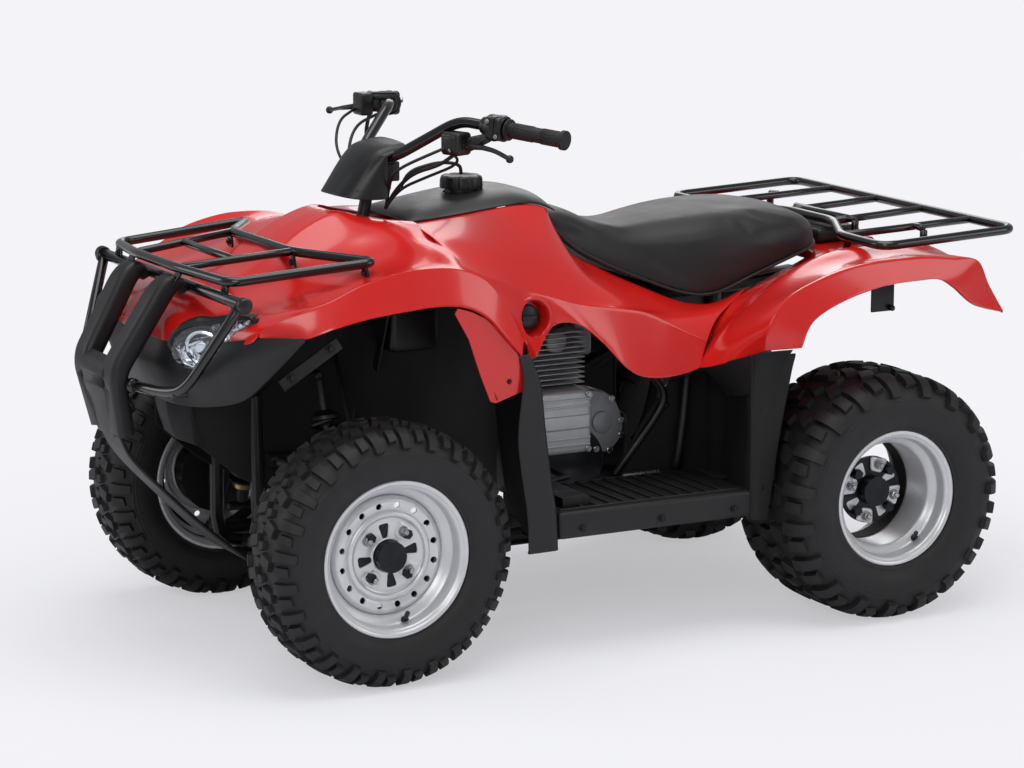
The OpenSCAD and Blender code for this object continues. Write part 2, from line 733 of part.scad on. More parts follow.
// A fender over both wheels. Between crown and crest its height changes over the band from x_in to x_out
function fender(crown, crest, edge, x_in, x_out, sag, plan_power, rows, columns, side_columns) =
    [for (i = [0 : rows]) let (t = i / rows, c = along(crown, t), a = along(crest, t), e = along(edge, t),
            half = concat(
                [for (j = [0 : columns]) let (x = a[0] * j / columns, k = smooth((x - x_in) / (x_out - x_in)))
                    [x, mix(c[1], a[1], pow(j / columns, plan_power)),
                     mix(c[2], a[2], k) - sag * sin(180 * pow(j / columns, 1.3))]],
                [for (j = [1 : side_columns]) mix(a, e,
                                                  j / side_columns) + [5 * sin(180 * j / side_columns), 0,
                                                                       0]]))
        concat([for (j = [len(half) - 1 : -1 : 1]) [-half[j][0], half[j][1], half[j][2]]], half)];

module front_fender() {
    grid = fender(front_crown, front_crest, front_edge, 60, 300, 26, 3.4, 24, 10, 3);
    color(panel_red)
        difference() {
            shell(grid, -panel_t);
            translate([-58, fa(88), 700]) cube([116, 300, 300]);
            pair() lamp_body(lamp_gap);
        }
}

// A surface through key lines that run from front to rear, with steps[k] columns from line k to the next
function lofted(lines, steps, rows) =
    [for (i = [0 : rows]) let (t = i / rows)
        concat([for (k = [0 : len(steps) - 1]) for (j = [0 : steps[k] - 1])
                    mix(along(lines[k], t), along(lines[k + 1], t), j / steps[k])],
               [along(lines[len(steps)], t)])];

// A half surface with its mirror image on the other side; its first column lies on the middle
function both(half) =
    [for (row = half) concat([for (j = [len(row) - 1 : -1 : 1]) [-row[j][0], row[j][1], row[j][2]]], row)];

// Rear fender: lines over its middle, beside the tray, under the seat's edge, over the haunch and the shoulder,
// the crest and the lower edge
rear_lines = [
    [[0, ra(20), 704], [0, ra(50), 716], [0, ra(120), 722], [0, ra(190), 722], [0, ra(215), 712],
     [0, ra(232), 700]],
    [[130, ra(10), 705], [134, ra(60), 717], [136, ra(130), 722], [138, ra(190), 722], [140, ra(232), 702]],
    [[197, ra(-259), 625], [203, ra(-179), 660], [206, ra(-105), 687], [208, ra(-2), 714], [208, ra(80), 734],
     [210, ra(170), 735], [214, ra(240), 714]],
    [[258, ra(-304), 580], [262, ra(-254), 626], [263, ra(-180), 674], [264, ra(-108), 708],
     [266, ra(-20), 736],
     [268, ra(80), 747], [270, ra(170), 746], [272, ra(250), 716]],
    [[303, ra(-356), 532], [312, ra(-312), 592], [321, ra(-250), 650], [331, ra(-170), 706],
     [338, ra(-80), 741],
     [342, ra(20), 756], [346, ra(150), 754], [350, ra(258), 704]],
    [[458, ra(-292), 586], [462, ra(-290), 630], [467, ra(-262), 679], [470, ra(-203), 714],
     [470, ra(-86), 744],
     [470, ra(60), 750], [470, ra(150), 741], [468, ra(212), 731], [464, ra(244), 676], [460, ra(282), 620]],
    [[484, ra(-224), 590], [487, ra(-199), 641], [488, ra(-128), 676], [488, ra(-32), 699],
     [488, ra(60), 704],
     [488, ra(104), 702], [484, ra(141), 682], [474, ra(200), 640], [464, ra(278), 617]]];

module rear_fender() {
    color(panel_red)
        difference() {
            shell(both(lofted(rear_lines, [2, 2, 2, 2, 4, 3], 24)), -panel_t);
            translate([-350, ra(206), 500]) cube([700, 200, 224]);
        }
}

// Seat stations: distance back, height of the top, half the width and height of the side's lower edge
seat_stations = [[fa(537), 843, 104, 806], [fa(585), 835, 116, 756], [fa(650), 806, 126, 718],
                 [fa(725), 791, 144, 682],
                 [mid(0.72), 803, 176, 645], [mid(0.78), 811, 192, 640], [ra(-156), 816, 196, 676],
                 [ra(-63), 815, 192, 708],
                 [ra(-20), 807, 178, 718], [ra(14), 797, 152, 724], [ra(44), 787, 110, 727],
                 [ra(68), 772, 60, 728]];
seat_pan_z = 696;

module seat() {
    rows = 24;
    rings = [for (i = [0 : rows]) let (q = along(seat_stations, i / rows), y = q[0], top = q[1], w = q[2],
                                       b = q[3],
                                      pan = max(b + 1, seat_pan_z), wing = min(36, w * 0.3), h = top - b)
        let (right = [[w - wing, pan], [w - wing, b], [w, b], [w + 4, b + 0.3 * h], [w - 2, b + 0.62 * h],
                      [w * 0.93, b + 0.86 * h], [w * 0.75, b + 0.96 * h], [w * 0.4, b + h]])
        concat([for (p = right) [p[0], y, p[1]]], [for (k = [len(right) - 1 : -1 : 0]) [-right[k][0], y,
                                                                                        right[k][1]]])];
    n = len(rings[0]);
    points = [for (ring = rings) each ring];
    walls = [for (i = [0 : rows - 1]) for (j = [0 : n - 1])
        let (a = i * n + j, b = i * n + (j + 1) % n) each [[a, a + n, b + n], [a, b + n, b]]];
    color("#141415")
        polyhedron(points = points,
                   faces = concat(walls, [[for (j = [0 : n - 1]) j]],
                                  [[for (j = [n - 1 : -1 : 0]) rows * n + j]]));
}

// A patch between an upper and a lower curve whose front edge follows a curve of its own
function patch(upper, lower, front, bulge, rows, columns) =
    [for (i = [0 : rows]) let (t = i / rows, a = along(upper, t), b = along(lower, t), near = pow(1 - t, 3))
        [for (j = [0 : columns]) let (u = j / columns, edge = along(front, u) - mix(upper[0], lower[0], u))
            mix(a, b, u) + edge * near + [bulge * 4 * u * (1 - u) * smooth(4 * t) * (1 - near), 0, 0]]];

// The seam between the tank cover and each side cover
cover_line = [[118, fa(214), 842], [127, fa(300), 850], [131, fa(390), 860], [130, fa(458), 864],
              [125, fa(510), 855]];

module side_covers() {
    tuck = 3.3;
    seat_edge = [for (i = [2 : 5]) let (q = seat_stations[i]) [q[2] - 10, q[0], q[3] - tuck]];
    upper = concat(cover_line, [[120, fa(530), 828], [118, fa(560), 766]], seat_edge);
    lower = [[426, fa(312), 640], [372, fa(350), 604], [312, fa(398), 600], [292, fa(436), 640],
             [290, fa(505), 640],
             [290, fa(560), 598], [290, fa(630), 528], [293, fa(690), 516], [298, fa(738), 521],
             [302, ra(-360), 530]];
    front = [[118, fa(214), 842], [240, fa(206), 828], [340, fa(196), 800], [410, fa(238), 766],
             [424, fa(284), 708],
             [426, fa(312), 640]];
    color(panel_red) pair() shell(patch(upper, lower, front, 10, 20, 10), -panel_t);
}

module tank_cover() {
    rows = 12;
    grid = [for (i = [0 : rows]) let (t = i / rows, e = along(cover_line, t))
        [for (j = [0 : rows]) let (u = 2 * j / rows - 1)
            [e[0] * u, e[1] + 22 * t, e[2] + 2.8 + 20 * (1 - pow(u, 4)) * (1 - pow(2 * t - 1, 4))]]];
    color(matte_black)
        difference() {
            shell(grid, -panel_t);
            translate([0, fa(388), 800]) cylinder(r = fuel_cap_r * 0.8 + 1, h = 100);
        }
}

// Filler neck and cap, standing on the tank inside
module fuel_cap() {
    color(matte_black)
        translate([0, fa(388), 0])
            difference() {
                union() {
                    translate([0, 0, 729.3]) cylinder(r = fuel_cap_r * 0.8, h = 160);
                    translate([0, 0, 888]) cylinder(r = fuel_cap_r, h = 26);
                }
                for (k = [0 : 7])
                    rotate(45 * k) translate([fuel_cap_r + 5, 0, 886]) cylinder(r = 10, h = 30);
            }
}

module rear_tray() {
    color(matte_black)
        translate([-78, ra(74), 723.2]) cube([156, 108, 29]);
}

module tail_lamp() {
    color("#a01018")
        translate([-55, ra(206) + clear, 682]) cube([110, 30, 42]);
}

// Plan of the nose fascia, from the middle to its left end, with its upper and lower heights
nose_plan = [[0, fa(-318)], [120, fa(-314)], [200, fa(-300)], [290, fa(-266)], [356, fa(-226)],
             [432, fa(-164)]];
nose_top = [[645], [645], [652], [668], [680], [680]];
nose_low = [[520], [520], [522], [545], [590], [666]];

module headlamp_surround() {
    n = 14;
    grid = [for (j = [-n : n]) let (u = abs(j) / n, p = along(nose_plan, u), top = along(nose_top, u)[0],
                                    low = along(nose_low, u)[0])
        [for (i = [0 : 6]) let (v = i / 6) [sign(j) * p[0] * (1 - 0.05 * v), p[1] + 26 * v,
                                            mix(top, low, v)]]];
    color(matte_black)
        difference() {
            shell(grid, panel_t);
            pair() lamp_body(lamp_gap);
        }
}

lamp_gap = 1;

// A headlamp's body: a long round-ended block that slants back and up towards its outer tip
module lamp_body(grow) {
    hull() {
        translate([196, fa(-282), 632]) rotate([78, 0, 24])
            cylinder(r = 40 + grow, h = 44 + 2 * grow, center = true);
        translate([292, fa(-220), 690]) rotate([70, 0, 34])
            cylinder(r = 16 + grow, h = 44 + 2 * grow, center = true);
    }
}

module headlamps() {
    color("#e8ecf0") pair() lamp_body(0);
}

module mudguards() {
    back = [[292, fa(314), 618], [292, fa(338), 560], [290, fa(350), 470], [290, fa(360), 385],
            [290, fa(372), 300],
            [290, fa(374.4), 225]];
    color(matte_black)
        pair()
            shell([for (i = [0 : 12]) let (t = i / 12, p = along(back, t), w = mix(134, 146, t),
                                           fold = 24 + 42 * smooth(2 * t))
                concat([for (j = [0 : 4]) [p[0] + w * j / 4, p[1], p[2]]],
                       [for (j = [1 : 2]) [p[0] + w + 2, p[1] - fold * j / 2, p[2]]])], panel_t);
}

// One footwell: floor, inner wall and a rear wall that stands clear of the rear tyre
module footwells() {
    x_in = 192;
    x_out = 436;
    front = fa(378) + clear;
    back = ra(-306);
    low = 242;
    top = 528;
    sheet = 5;
    color(matte_black)
        pair() {
            // Step with its skirt
            difference() {
                translate([x_in, front, low]) cube([x_out - x_in, back - front, deck_z - low]);
                translate([x_in - 1, front + sheet, low - 1])
                    cube([x_out - x_in - sheet + 1, back - front - 2 * sheet, deck_z - deck_t - low + 1]);
            }
            // Rear wall, which rises outwards
            intersection() {
                translate([0, 0, low])
                    linear_extrude(400)
                        polygon([[x_in, ra(-268)], [300, ra(-280)], [x_out, ra(-310)],
                                 [x_out, ra(-310) + sheet],
                                 [300, ra(-280) + sheet], [x_in, ra(-268) + sheet]]);
                translate([0, ra(-100), 0])
                    rotate([90, 0, 0])
                        linear_extrude(300)
                            polygon([[x_in - 1, low], [x_out + 1, low], [x_out + 1, top + 42], [303, top],
                                     [x_in - 1, top]]);
            }
            // Floor between the step and the rear wall
            translate([x_in, back - sheet, deck_z - deck_t]) cube([108, 26, deck_t]);
            // Inner wall beside the frame
            translate([x_in, 0, 0])
                rotate([90, 0, 90])
                    linear_extrude(sheet)
                        polygon([[ra(-268) + sheet, low], [ra(-268) + sheet, top], [fa(800), top],
                                 [fa(772), 486],
                                 [fa(699), 398], [fa(640), deck_z - deck_t], [back - 6, deck_z - deck_t],
                                 [back - 6, low]]);
            // Outer flange in front of the tyre
            translate([x_out - sheet, 0, 0])
                rotate([90, 0, 90])
                    linear_extrude(sheet + 3)
                        polygon([[ra(-310), low], [ra(-302), top + 42], [ra(-222), 587], [ra(-194), 589],
                                 [ra(-229), 507],
                                 [ra(-255), 375], [ra(-271), 270], [ra(-277), 236], [ra(-306), 236]]);
        }
}

module foot_controls() {
    color(steel) {
        pair() translate([210, fa(405), deck_z + clear]) cube([190, 60, 20]);
        bar([154 + clear, engine_y + 30, 318], [236, engine_y + 30, 318], 6);
        bar([236, engine_y + 33, 318], [240, engine_y - 23, 312], 6);
    }
}

frame();
skid_plate();
crankcase();
cylinder_block();
exhaust();
front_bumper();
bumper_tubes();
front_rack();
rear_rack();
front_fender();
headlamp_surround();
headlamps();
side_covers();
tank_cover();
fuel_cap();
seat();
rear_fender();
rear_tray();
tail_lamp();
footwells();
mudguards();
foot_controls();
front_arms();
front_shocks();
swing_arm();
rear_shock();
handlebar();
steering_stem();
handlebar_cover();
grips();
hand_controls();
levers();
control_cables();
tie_rod();  // tie_rod_left
on_right() tie_rod();  // tie_rod_right
knuckle();  // knuckle_left
on_right() knuckle();  // knuckle_right
front_tyre();  // front_left_tyre
on_right() front_tyre();  // front_right_tyre
front_rim();  // front_left_rim
on_right() front_rim();  // front_right_rim
front_hub();  // front_left_hub
on_right() front_hub();  // front_right_hub
rear_axle();
rear_tyre();  // rear_left_tyre
on_right() rear_tyre();  // rear_right_tyre
rear_rims();
rear_hubs();
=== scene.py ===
"""Utility quad bike: the visible surfaces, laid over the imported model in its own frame.

Lengths in this file are millimetres and become metres when a mesh is made. The frame's origin is on the
ground under the middle of the machine, the front is -Y, the rider's left is +X and +Z is up.
"""

import logging
import math
from dataclasses import dataclass, field
from enum import Enum
from typing import Callable, Iterable, Optional, Sequence

import bpy
import numpy as np
from mathutils import Matrix


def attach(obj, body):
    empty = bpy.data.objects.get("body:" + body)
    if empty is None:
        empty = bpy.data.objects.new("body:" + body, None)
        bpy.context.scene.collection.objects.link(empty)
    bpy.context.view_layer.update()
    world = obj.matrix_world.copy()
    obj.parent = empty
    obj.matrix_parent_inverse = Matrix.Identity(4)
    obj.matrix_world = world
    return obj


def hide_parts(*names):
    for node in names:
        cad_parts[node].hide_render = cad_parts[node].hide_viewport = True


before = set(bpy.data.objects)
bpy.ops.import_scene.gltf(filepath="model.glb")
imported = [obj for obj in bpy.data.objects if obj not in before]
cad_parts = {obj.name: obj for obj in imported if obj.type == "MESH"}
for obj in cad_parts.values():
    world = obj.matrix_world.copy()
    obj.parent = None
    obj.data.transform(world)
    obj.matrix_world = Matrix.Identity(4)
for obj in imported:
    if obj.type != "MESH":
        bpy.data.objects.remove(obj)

LOG = logging.getLogger("quad")
MM = 0.001
FRONT_Y, REAR_Y, TYRE_R = -525.0, 606.0, 258.0
FRONT_X, REAR_X = 407.5, 390.0
Points = Sequence[Sequence[float]]
Array = np.ndarray


class Body(str, Enum):
    """The bodies that pieces ride on."""
    CHASSIS = "chassis"
    STEERING = "steering"
    FRONT_LEFT = "front_left_wheel"
    FRONT_RIGHT = "front_right_wheel"
    KNUCKLE_LEFT = "knuckle_left"
    KNUCKLE_RIGHT = "knuckle_right"
    REAR = "rear_axle"


class Side(int, Enum):
    """Which half of the machine a piece is on."""
    LEFT = 1
    RIGHT = -1


# ---- Curves and surfaces ----

def unit(v: Array) -> Array:
    """Vectors divided by their lengths, along the last axis."""
    return v / np.maximum(np.linalg.norm(v, axis=-1, keepdims=True), 1e-9)


def fa(points: Points) -> Array:
    """Points given from the front axle, moved to the frame."""
    return np.asarray(points, float) + [0.0, FRONT_Y, 0.0]


def ra(points: Points) -> Array:
    """Points given from the rear axle, moved to the frame."""
    return np.asarray(points, float) + [0.0, REAR_Y, 0.0]


def smooth(t: Array) -> Array:
    """3 t^2 - 2 t^3 with t held between 0 and 1."""
    u = np.clip(t, 0.0, 1.0)
    return u * u * (3.0 - 2.0 * u)


def along(points: Points, t: Array) -> Array:
    """Catmull-Rom curve: each span is the cubic whose end slopes are half the chord of its neighbours.

    Args:
        points: the points that the curve passes.
        t: places on the curve from 0 to 1, any shape.

    Returns:
        The points at t, with one more axis for the coordinates.
    """
    p = np.asarray(points, float)
    last = len(p) - 1
    s = np.clip(np.asarray(t, float), 0.0, 1.0) * last
    i = np.minimum(s.astype(int), last - 1)
    u = (s - i)[..., None]
    a, b = p[np.maximum(i - 1, 0)], p[i]
    c, d = p[i + 1], p[np.minimum(i + 2, last)]
    return 0.5 * (2 * b + (c - a) * u + (2 * a - 5 * b + 4 * c - d) * u ** 2 + (3 * b - a - 3 * c \
        + d) * u ** 3)


def rounded(points: Points, reach: float, steps: int = 8) -> Array:
    """Straight stretches whose corners are parabolas that start and end at reach from the corner."""
    p = np.asarray(points, float)
    a, b = p[:-2] - p[1:-1], p[2:] - p[1:-1]
    la, lb = np.linalg.norm(a, axis=1, keepdims=True), np.linalg.norm(b, axis=1, keepdims=True)
    start = p[1:-1] + a / la * np.minimum(reach, la * 0.48)
    end = p[1:-1] + b / lb * np.minimum(reach, lb * 0.48)
    u = np.linspace(0.0, 1.0, steps + 1)[None, :, None]
    bends = start[:, None] * (1 - u) ** 2 + p[1:-1][:, None] * 2 * u * (1 - u) + end[:, None] * u ** 2
    return np.concatenate([p[:1], bends.reshape(-1, p.shape[1]), p[-1:]])


def looped(points: Points, reach: float, steps: int = 8) -> Array:
    """The same on a closed path."""
    p = [list(map(float, q)) for q in points]
    return rounded([p[-1]] + p + [p[0]], reach, steps)[1:-1]


def mirrored(points: Points) -> Array:
    """Points with X turned over."""
    return np.asarray(points, float) * [-1.0, 1.0, 1.0]


def circle(r: float, sides: int = 20) -> Array:
    """Points r(cos a, sin a) at even angles."""
    a = np.linspace(0.0, 2 * np.pi, sides, endpoint=False)
    return np.stack([r * np.cos(a), r * np.sin(a)], -1)


def rounded_box(width: float, height: float, corner: float, steps: int = 4) -> Array:
    """Outline of a rectangle whose corners are quarter circles."""
    a = np.concatenate([np.linspace(q, q + 90, steps + 1) for q in (0, 90, 180, 270)])
    sx = np.repeat([1, -1, -1, 1], steps + 1)
    sy = np.repeat([1, 1, -1, -1], steps + 1)
    a = np.radians(a)
    return np.stack([sx * (width / 2 - corner) + corner * np.cos(a),
        sy * (height / 2 - corner) + corner * np.sin(a)], -1)


def swept(path: Array, section: Array, side: Sequence[float] = (1, 0, 0), closed: bool = False,
          scale: Optional[Array] = None) -> Array:
    """Surface of a section carried along a path.

    The path's tangent t, u = t x side and s = u x t give each station's axes, and a point is path + x s + y
    u.

    Args:
        path: stations, m by 3.
        section: outline in its own plane, n by 2.
        side: direction that the section's first axis keeps to.
        closed: whether the path closes on itself.
        scale: factors on the section, one a station, or one pair a station.

    Returns:
        A grid of points, m by n by 3.
    """
    if closed:
        t = np.roll(path, -1, 0) - np.roll(path, 1, 0)
    else:
        t = np.gradient(path, axis=0)
    t = unit(t)
    u = unit(np.cross(t, np.asarray(side, float)))
    s = np.cross(u, t)
    k = np.ones((len(path), 2)) if scale is None else np.broadcast_to(np.asarray(scale,
        float).reshape(len(path), -1), (len(path), 2))
    x = section[None, :, 0, None] * k[:, None, 0, None]
    y = section[None, :, 1, None] * k[:, None, 1, None]
    return path[:, None] + x * s[:, None] + y * u[:, None]


def turned(profile: Points, steps: int = 96, axis: str = "x") -> Array:
    """Surface of revolution: a profile of (place on the axis, radius) turned once round.

    Args:
        profile: points of the half section.
        steps: stations round the turn.
        axis: x for a wheel's axis, z for an upright one.

    Returns:
        A grid, one row a station round the turn.
    """
    p = np.asarray(profile, float)
    a = np.linspace(0.0, 2 * np.pi, steps, endpoint=False)[:, None]
    along_axis, r = np.broadcast_to(p[None, :, 0], (steps, len(p))), p[None, :, 1]
    c, s = r * np.cos(a), r * np.sin(a)
    return np.stack([along_axis, c, s] if axis == "x" else [c, s, along_axis], -1)


def grid_faces(rows: int, columns: int, wrap_rows: bool = False, wrap_columns: bool = False) -> Array:
    """Four-sided faces of a grid, as vertex numbers."""
    r = np.arange(rows if wrap_rows else rows - 1)[:, None]
    c = np.arange(columns if wrap_columns else columns - 1)[None, :]
    r1, c1 = (r + 1) % rows, (c + 1) % columns
    return np.stack([r * columns + c + 0 * r, r * columns + c1, r1 * columns + c1, r1 * columns + c],
        -1).reshape(-1, 4)


@dataclass
class Shape:
    """Points with faces, before they become a mesh."""
    points: Array
    faces: list[list[int]]

    def moved(self, offset: Sequence[float] = (0, 0, 0), matrix: Optional[Array] = None) -> "Shape":
        """A copy turned by a 3 by 3 matrix, then shifted."""
        p = self.points if matrix is None else self.points @ np.asarray(matrix, float).T
        flip = matrix is not None and np.linalg.det(matrix) < 0
        faces = [f[::-1] for f in self.faces] if flip else self.faces
        return Shape(p + np.asarray(offset, float), faces)

    def mirror(self) -> "Shape":
        """A copy on the machine's other side."""
        return self.moved(matrix=np.diag([-1.0, 1.0, 1.0]))

    def pair(self) -> "Shape":
        """This shape and its mirror."""
        return joined([self, self.mirror()])

    def outward(self) -> "Shape":
        """The shape with its faces turned out, by the sign of the sum of face area vectors times place."""
        total = 0.0
        for size in {len(f) for f in self.faces}:
            corners = self.points[np.array([f for f in self.faces if len(f) == size])]
            fan = np.cross(corners[:, 1:-1] - corners[:, :1], corners[:, 2:] - corners[:, :1])
            total += float(np.einsum("ij,ikj->", corners[:, 0], fan))
        return self if total >= 0 else Shape(self.points, [f[::-1] for f in self.faces])


def joined(shapes: Iterable[Shape]) -> Shape:
    """Several shapes as one."""
    points, faces, base = [], [], 0
    for s in shapes:
        points.append(s.points)
        faces += [[i + base for i in f] for f in s.faces]
        base += len(s.points)
    return Shape(np.concatenate(points), faces)


def closed_grid(grid: Array, wrap_rows: bool = False, wrap_columns: bool = True, caps: bool = True) -> Shape:
    """A grid as a closed shape; open ends of a tube are shut by one flat face each."""
    m, n = grid.shape[:2]
    faces = grid_faces(m, n, wrap_rows, wrap_columns).tolist()
    if caps and wrap_columns and not wrap_rows:
        faces += [list(range(n))[::-1], list(range((m - 1) * n, m * n))]
    if caps and wrap_rows and not wrap_columns:
        faces += [list(range(0, m * n, n)), list(range(n - 1, m * n, n))[::-1]]
    return Shape(grid.reshape(-1, 3), faces).outward()


def tube(path: Array, r: float, side: Sequence[float] = (1, 0, 0), closed: bool = False,
        sides: int = 18) -> Shape:
    """A round tube along a path, its ends domed by rings that shrink as a quarter circle."""
    path = np.asarray(path, float)
    if closed:
        return closed_grid(swept(path, circle(r, sides), side, True), wrap_rows=True)
    a = np.radians([0, 30, 60, 84])
    first, last = unit(path[1] - path[0]), unit(path[-1] - path[-2])
    dome = 0.35 * r
    start = path[0] + first * (dome * (1 - np.sin(a[::-1])))[:, None]
    end = path[-1] - last * (dome * (1 - np.sin(a)))[:, None]
    full = np.concatenate([start, path[1:-1], end])
    k = np.concatenate([np.cos(a[::-1]), np.ones(len(path) - 2), np.cos(a)])
    return closed_grid(swept(full, circle(r, sides), side, scale=k))


def rod(a: Sequence[float], b: Sequence[float], r: float, sides: int = 18) -> Shape:
    """A straight round bar between two points."""
    a, b = np.asarray(a, float), np.asarray(b, float)
    side = (0, 0, 1) if abs(unit(b - a)[2]) < 0.9 else (1, 0, 0)
    return tube(np.linspace(a, b, 3), r, side, sides=sides)


def lathe(profile: Points, steps: int = 96, axis: str = "x", offset: Sequence[float] = (0, 0, 0)) -> Shape:
    """A turned closed profile, or one whose ends are on the axis, as a shape."""
    return closed_grid(turned(profile, steps, axis), wrap_rows=True, wrap_columns=True,
        caps=False).moved(offset)


def shell(grid: Array, wall: float, rim: int = 3) -> Shape:
    """A sheet with a round rim: the grid, a copy moved by wall along the surface normals, and a half-round
    edge.

    Args:
        grid: outer face, m by n by 3.
        wall: thickness; its sign picks the side.
        rim: rings of the half-round edge.

    Returns:
        The closed shape.
    """
    di, dj = np.gradient(grid, axis=0), np.gradient(grid, axis=1)
    normal = unit(np.cross(di, dj))
    inner = grid - wall * normal
    m, n = grid.shape[:2]
    index = np.arange(m * n).reshape(m, n)
    loop = np.concatenate([index[0, :-1], index[:-1, -1], index[-1, :0:-1], index[:0:-1, 0]])
    flat, flat_in = grid.reshape(-1, 3), inner.reshape(-1, 3)
    a, b = flat[loop], flat_in[loop]
    mid, ray = (a + b) / 2, (a - b) / 2
    out = unit(np.cross(np.roll(a, -1, 0) - np.roll(a, 1, 0), ray)) * abs(wall) / 2
    centre = grid.reshape(-1, 3).mean(0)
    out *= np.sign(np.sum(out * (a - centre), -1, keepdims=True) + 1e-9)
    angles = np.linspace(0, np.pi, rim + 2)[1:-1]
    rings = [mid + ray * math.cos(t) + out * math.sin(t) for t in angles]
    k, total = len(loop), m * n
    faces = grid_faces(m, n).tolist() + (grid_faces(m, n)[:, ::-1] + total).tolist()
    chain = [loop] + [2 * total + q * k + np.arange(k) for q in range(len(rings))] + [loop + total]
    for lo, hi in zip(chain[:-1], chain[1:]):
        faces += np.stack([lo, hi, np.roll(hi, -1), np.roll(lo, -1)], -1).tolist()
    return Shape(np.concatenate([flat, flat_in] + rings), faces).outward()


def block(size: Sequence[float], corner: float, centre: Sequence[float] = (0, 0, 0), axis: int = 0,
        steps: int = 4) -> Shape:
    """A block with round edges: rounded outlines stacked along one axis, drawn in near both ends as a
    quarter circle."""
    order = [axis, (axis + 1) % 3, (axis + 2) % 3]
    length, w, h = (size[k] for k in order)
    a = np.radians(np.linspace(0, 90, steps + 1))
    x = np.concatenate([-length / 2 + corner * (1 - np.sin(a[::-1])), length / 2 - corner * (1 - np.sin(a))])
    inset = np.concatenate([corner * (1 - np.cos(a[::-1])), corner * (1 - np.cos(a))])
    rings = [rounded_box(w - 2 * i, h - 2 * i, max(corner - i, 0.2) + 0.01, steps) for i in inset]
    grid = np.stack([np.concatenate([np.full((len(r), 1), q), r], 1) for q, r in zip(x, rings)])
    out = np.empty_like(grid)
    for k, o in enumerate(order):
        out[..., o] = grid[..., k]
    return closed_grid(out + np.asarray(centre, float))


def turn_x(deg: float) -> Array:
    """Rotation about X."""
    return np.array(Matrix.Rotation(math.radians(deg), 3, "X"))


def turn_z(deg: float) -> Array:
    """Rotation about Z."""
    return np.array(Matrix.Rotation(math.radians(deg), 3, "Z"))


def facing(direction: Sequence[float]) -> Array:
    """Rotation that carries +Z to a direction."""
    z = unit(np.asarray(direction, float))
    x = unit(np.cross([0.0, 1.0, 0.0] if abs(z[1]) < 0.9 else [1.0, 0.0, 0.0], z))
    return np.stack([x, np.cross(z, x), z], -1)


def bolt(at: Sequence[float], direction: Sequence[float], r: float = 6.0, high: float = 5.0,
        flange: float = 1.5) -> Shape:
    """A flanged hexagon bolt head that stands on a surface."""
    f = r * flange
    disc = lathe([(0, 0.01), (0, f), (1.2, f), (2.0, f - 1.0), (2.0, 0.01)], 20, "z")
    six = circle(r, 6)
    rings = [(1.6, 1.0), (high - 1.0, 1.0), (high, 0.86)]
    grid = np.stack([np.concatenate([six * k, np.full((6, 1), z)], 1) for z, k in rings])
    return joined([disc, closed_grid(grid)]).moved(at, facing(direction))


def make(name: str, shape: Shape, sharp: float = 38.0) -> bpy.types.Object:
    """A mesh object from a shape, with edges sharper than an angle shaded as edges.

    Args:
        name: the object's name.
        shape: the shape in millimetres.
        sharp: the angle in degrees.

    Returns:
        The object, at the origin.
    """
    mesh = bpy.data.meshes.new(name)
    mesh.from_pydata((shape.points * MM).tolist(), [], shape.faces)
    mesh.validate()
    mesh.polygons.foreach_set("use_smooth", np.ones(len(mesh.polygons), bool))
    mesh.set_sharp_from_angle(angle=math.radians(sharp))
    obj = bpy.data.objects.new(name, mesh)
    bpy.context.scene.collection.objects.link(obj)
    return obj


def baked(obj: bpy.types.Object) -> None:
    """Applies an object's modifiers to its mesh."""
    graph = bpy.context.evaluated_depsgraph_get()
    mesh = bpy.data.meshes.new_from_object(obj.evaluated_get(graph))
    obj.modifiers.clear()
    obj.data = mesh


def cut(obj: bpy.types.Object, tool: Shape) -> None:
    """Takes a shape's volume out of an object."""
    knife = make("cutter", tool)
    change = obj.modifiers.new("cut", "BOOLEAN")
    change.operation, change.solver, change.object = "DIFFERENCE", "EXACT", knife
    baked(obj)
    bpy.data.objects.remove(knife)


def rounded_edges(obj: bpy.types.Object, width: float, angle: float = 32.0, segments: int = 2) -> None:
    """Rounds an object's edges that are sharper than an angle, width in millimetres."""
    change = obj.modifiers.new("edge", "BEVEL")
    change.width, change.segments, change.limit_method = width * MM, segments, "ANGLE"
    change.angle_limit, change.harden_normals = math.radians(angle), False
    baked(obj)
    obj.data.polygons.foreach_set("use_smooth", np.ones(len(obj.data.polygons), bool))
    obj.data.set_sharp_from_angle(angle=math.radians(50))


# ---- Finishes ----

def linear(colour: str) -> tuple[float, float, float, float]:
    """sRGB hex to linear: c / 12.92 below 0.04045, else ((c + 0.055) / 1.055) ^ 2.4."""
    c = np.array([int(colour[k:k + 2], 16) for k in (1, 3, 5)]) / 255.0
    value = np.where(c <= 0.04045, c / 12.92, ((c + 0.055) / 1.055) ** 2.4)
    return (*value.tolist(), 1.0)


def add_node(tree: bpy.types.NodeTree, kind: str, values: Optional[dict] = None, links: Optional[dict] = None,
             **settings: object) -> bpy.types.Node:
    """Adds a node.

    Args:
        tree: the node tree.
        kind: the node's type.
        values: input name or number to value.
        links: input name or number to the socket that feeds it.
        **settings: the node's own properties.

    Returns:
        The node.
    """
    item = tree.nodes.new(kind)
    for key, value in settings.items():
        setattr(item, key, value)
    for key, value in (values or {}).items():
        item.inputs[key].default_value = value
    for key, source in (links or {}).items():
        tree.links.new(source, item.inputs[key])
    return item


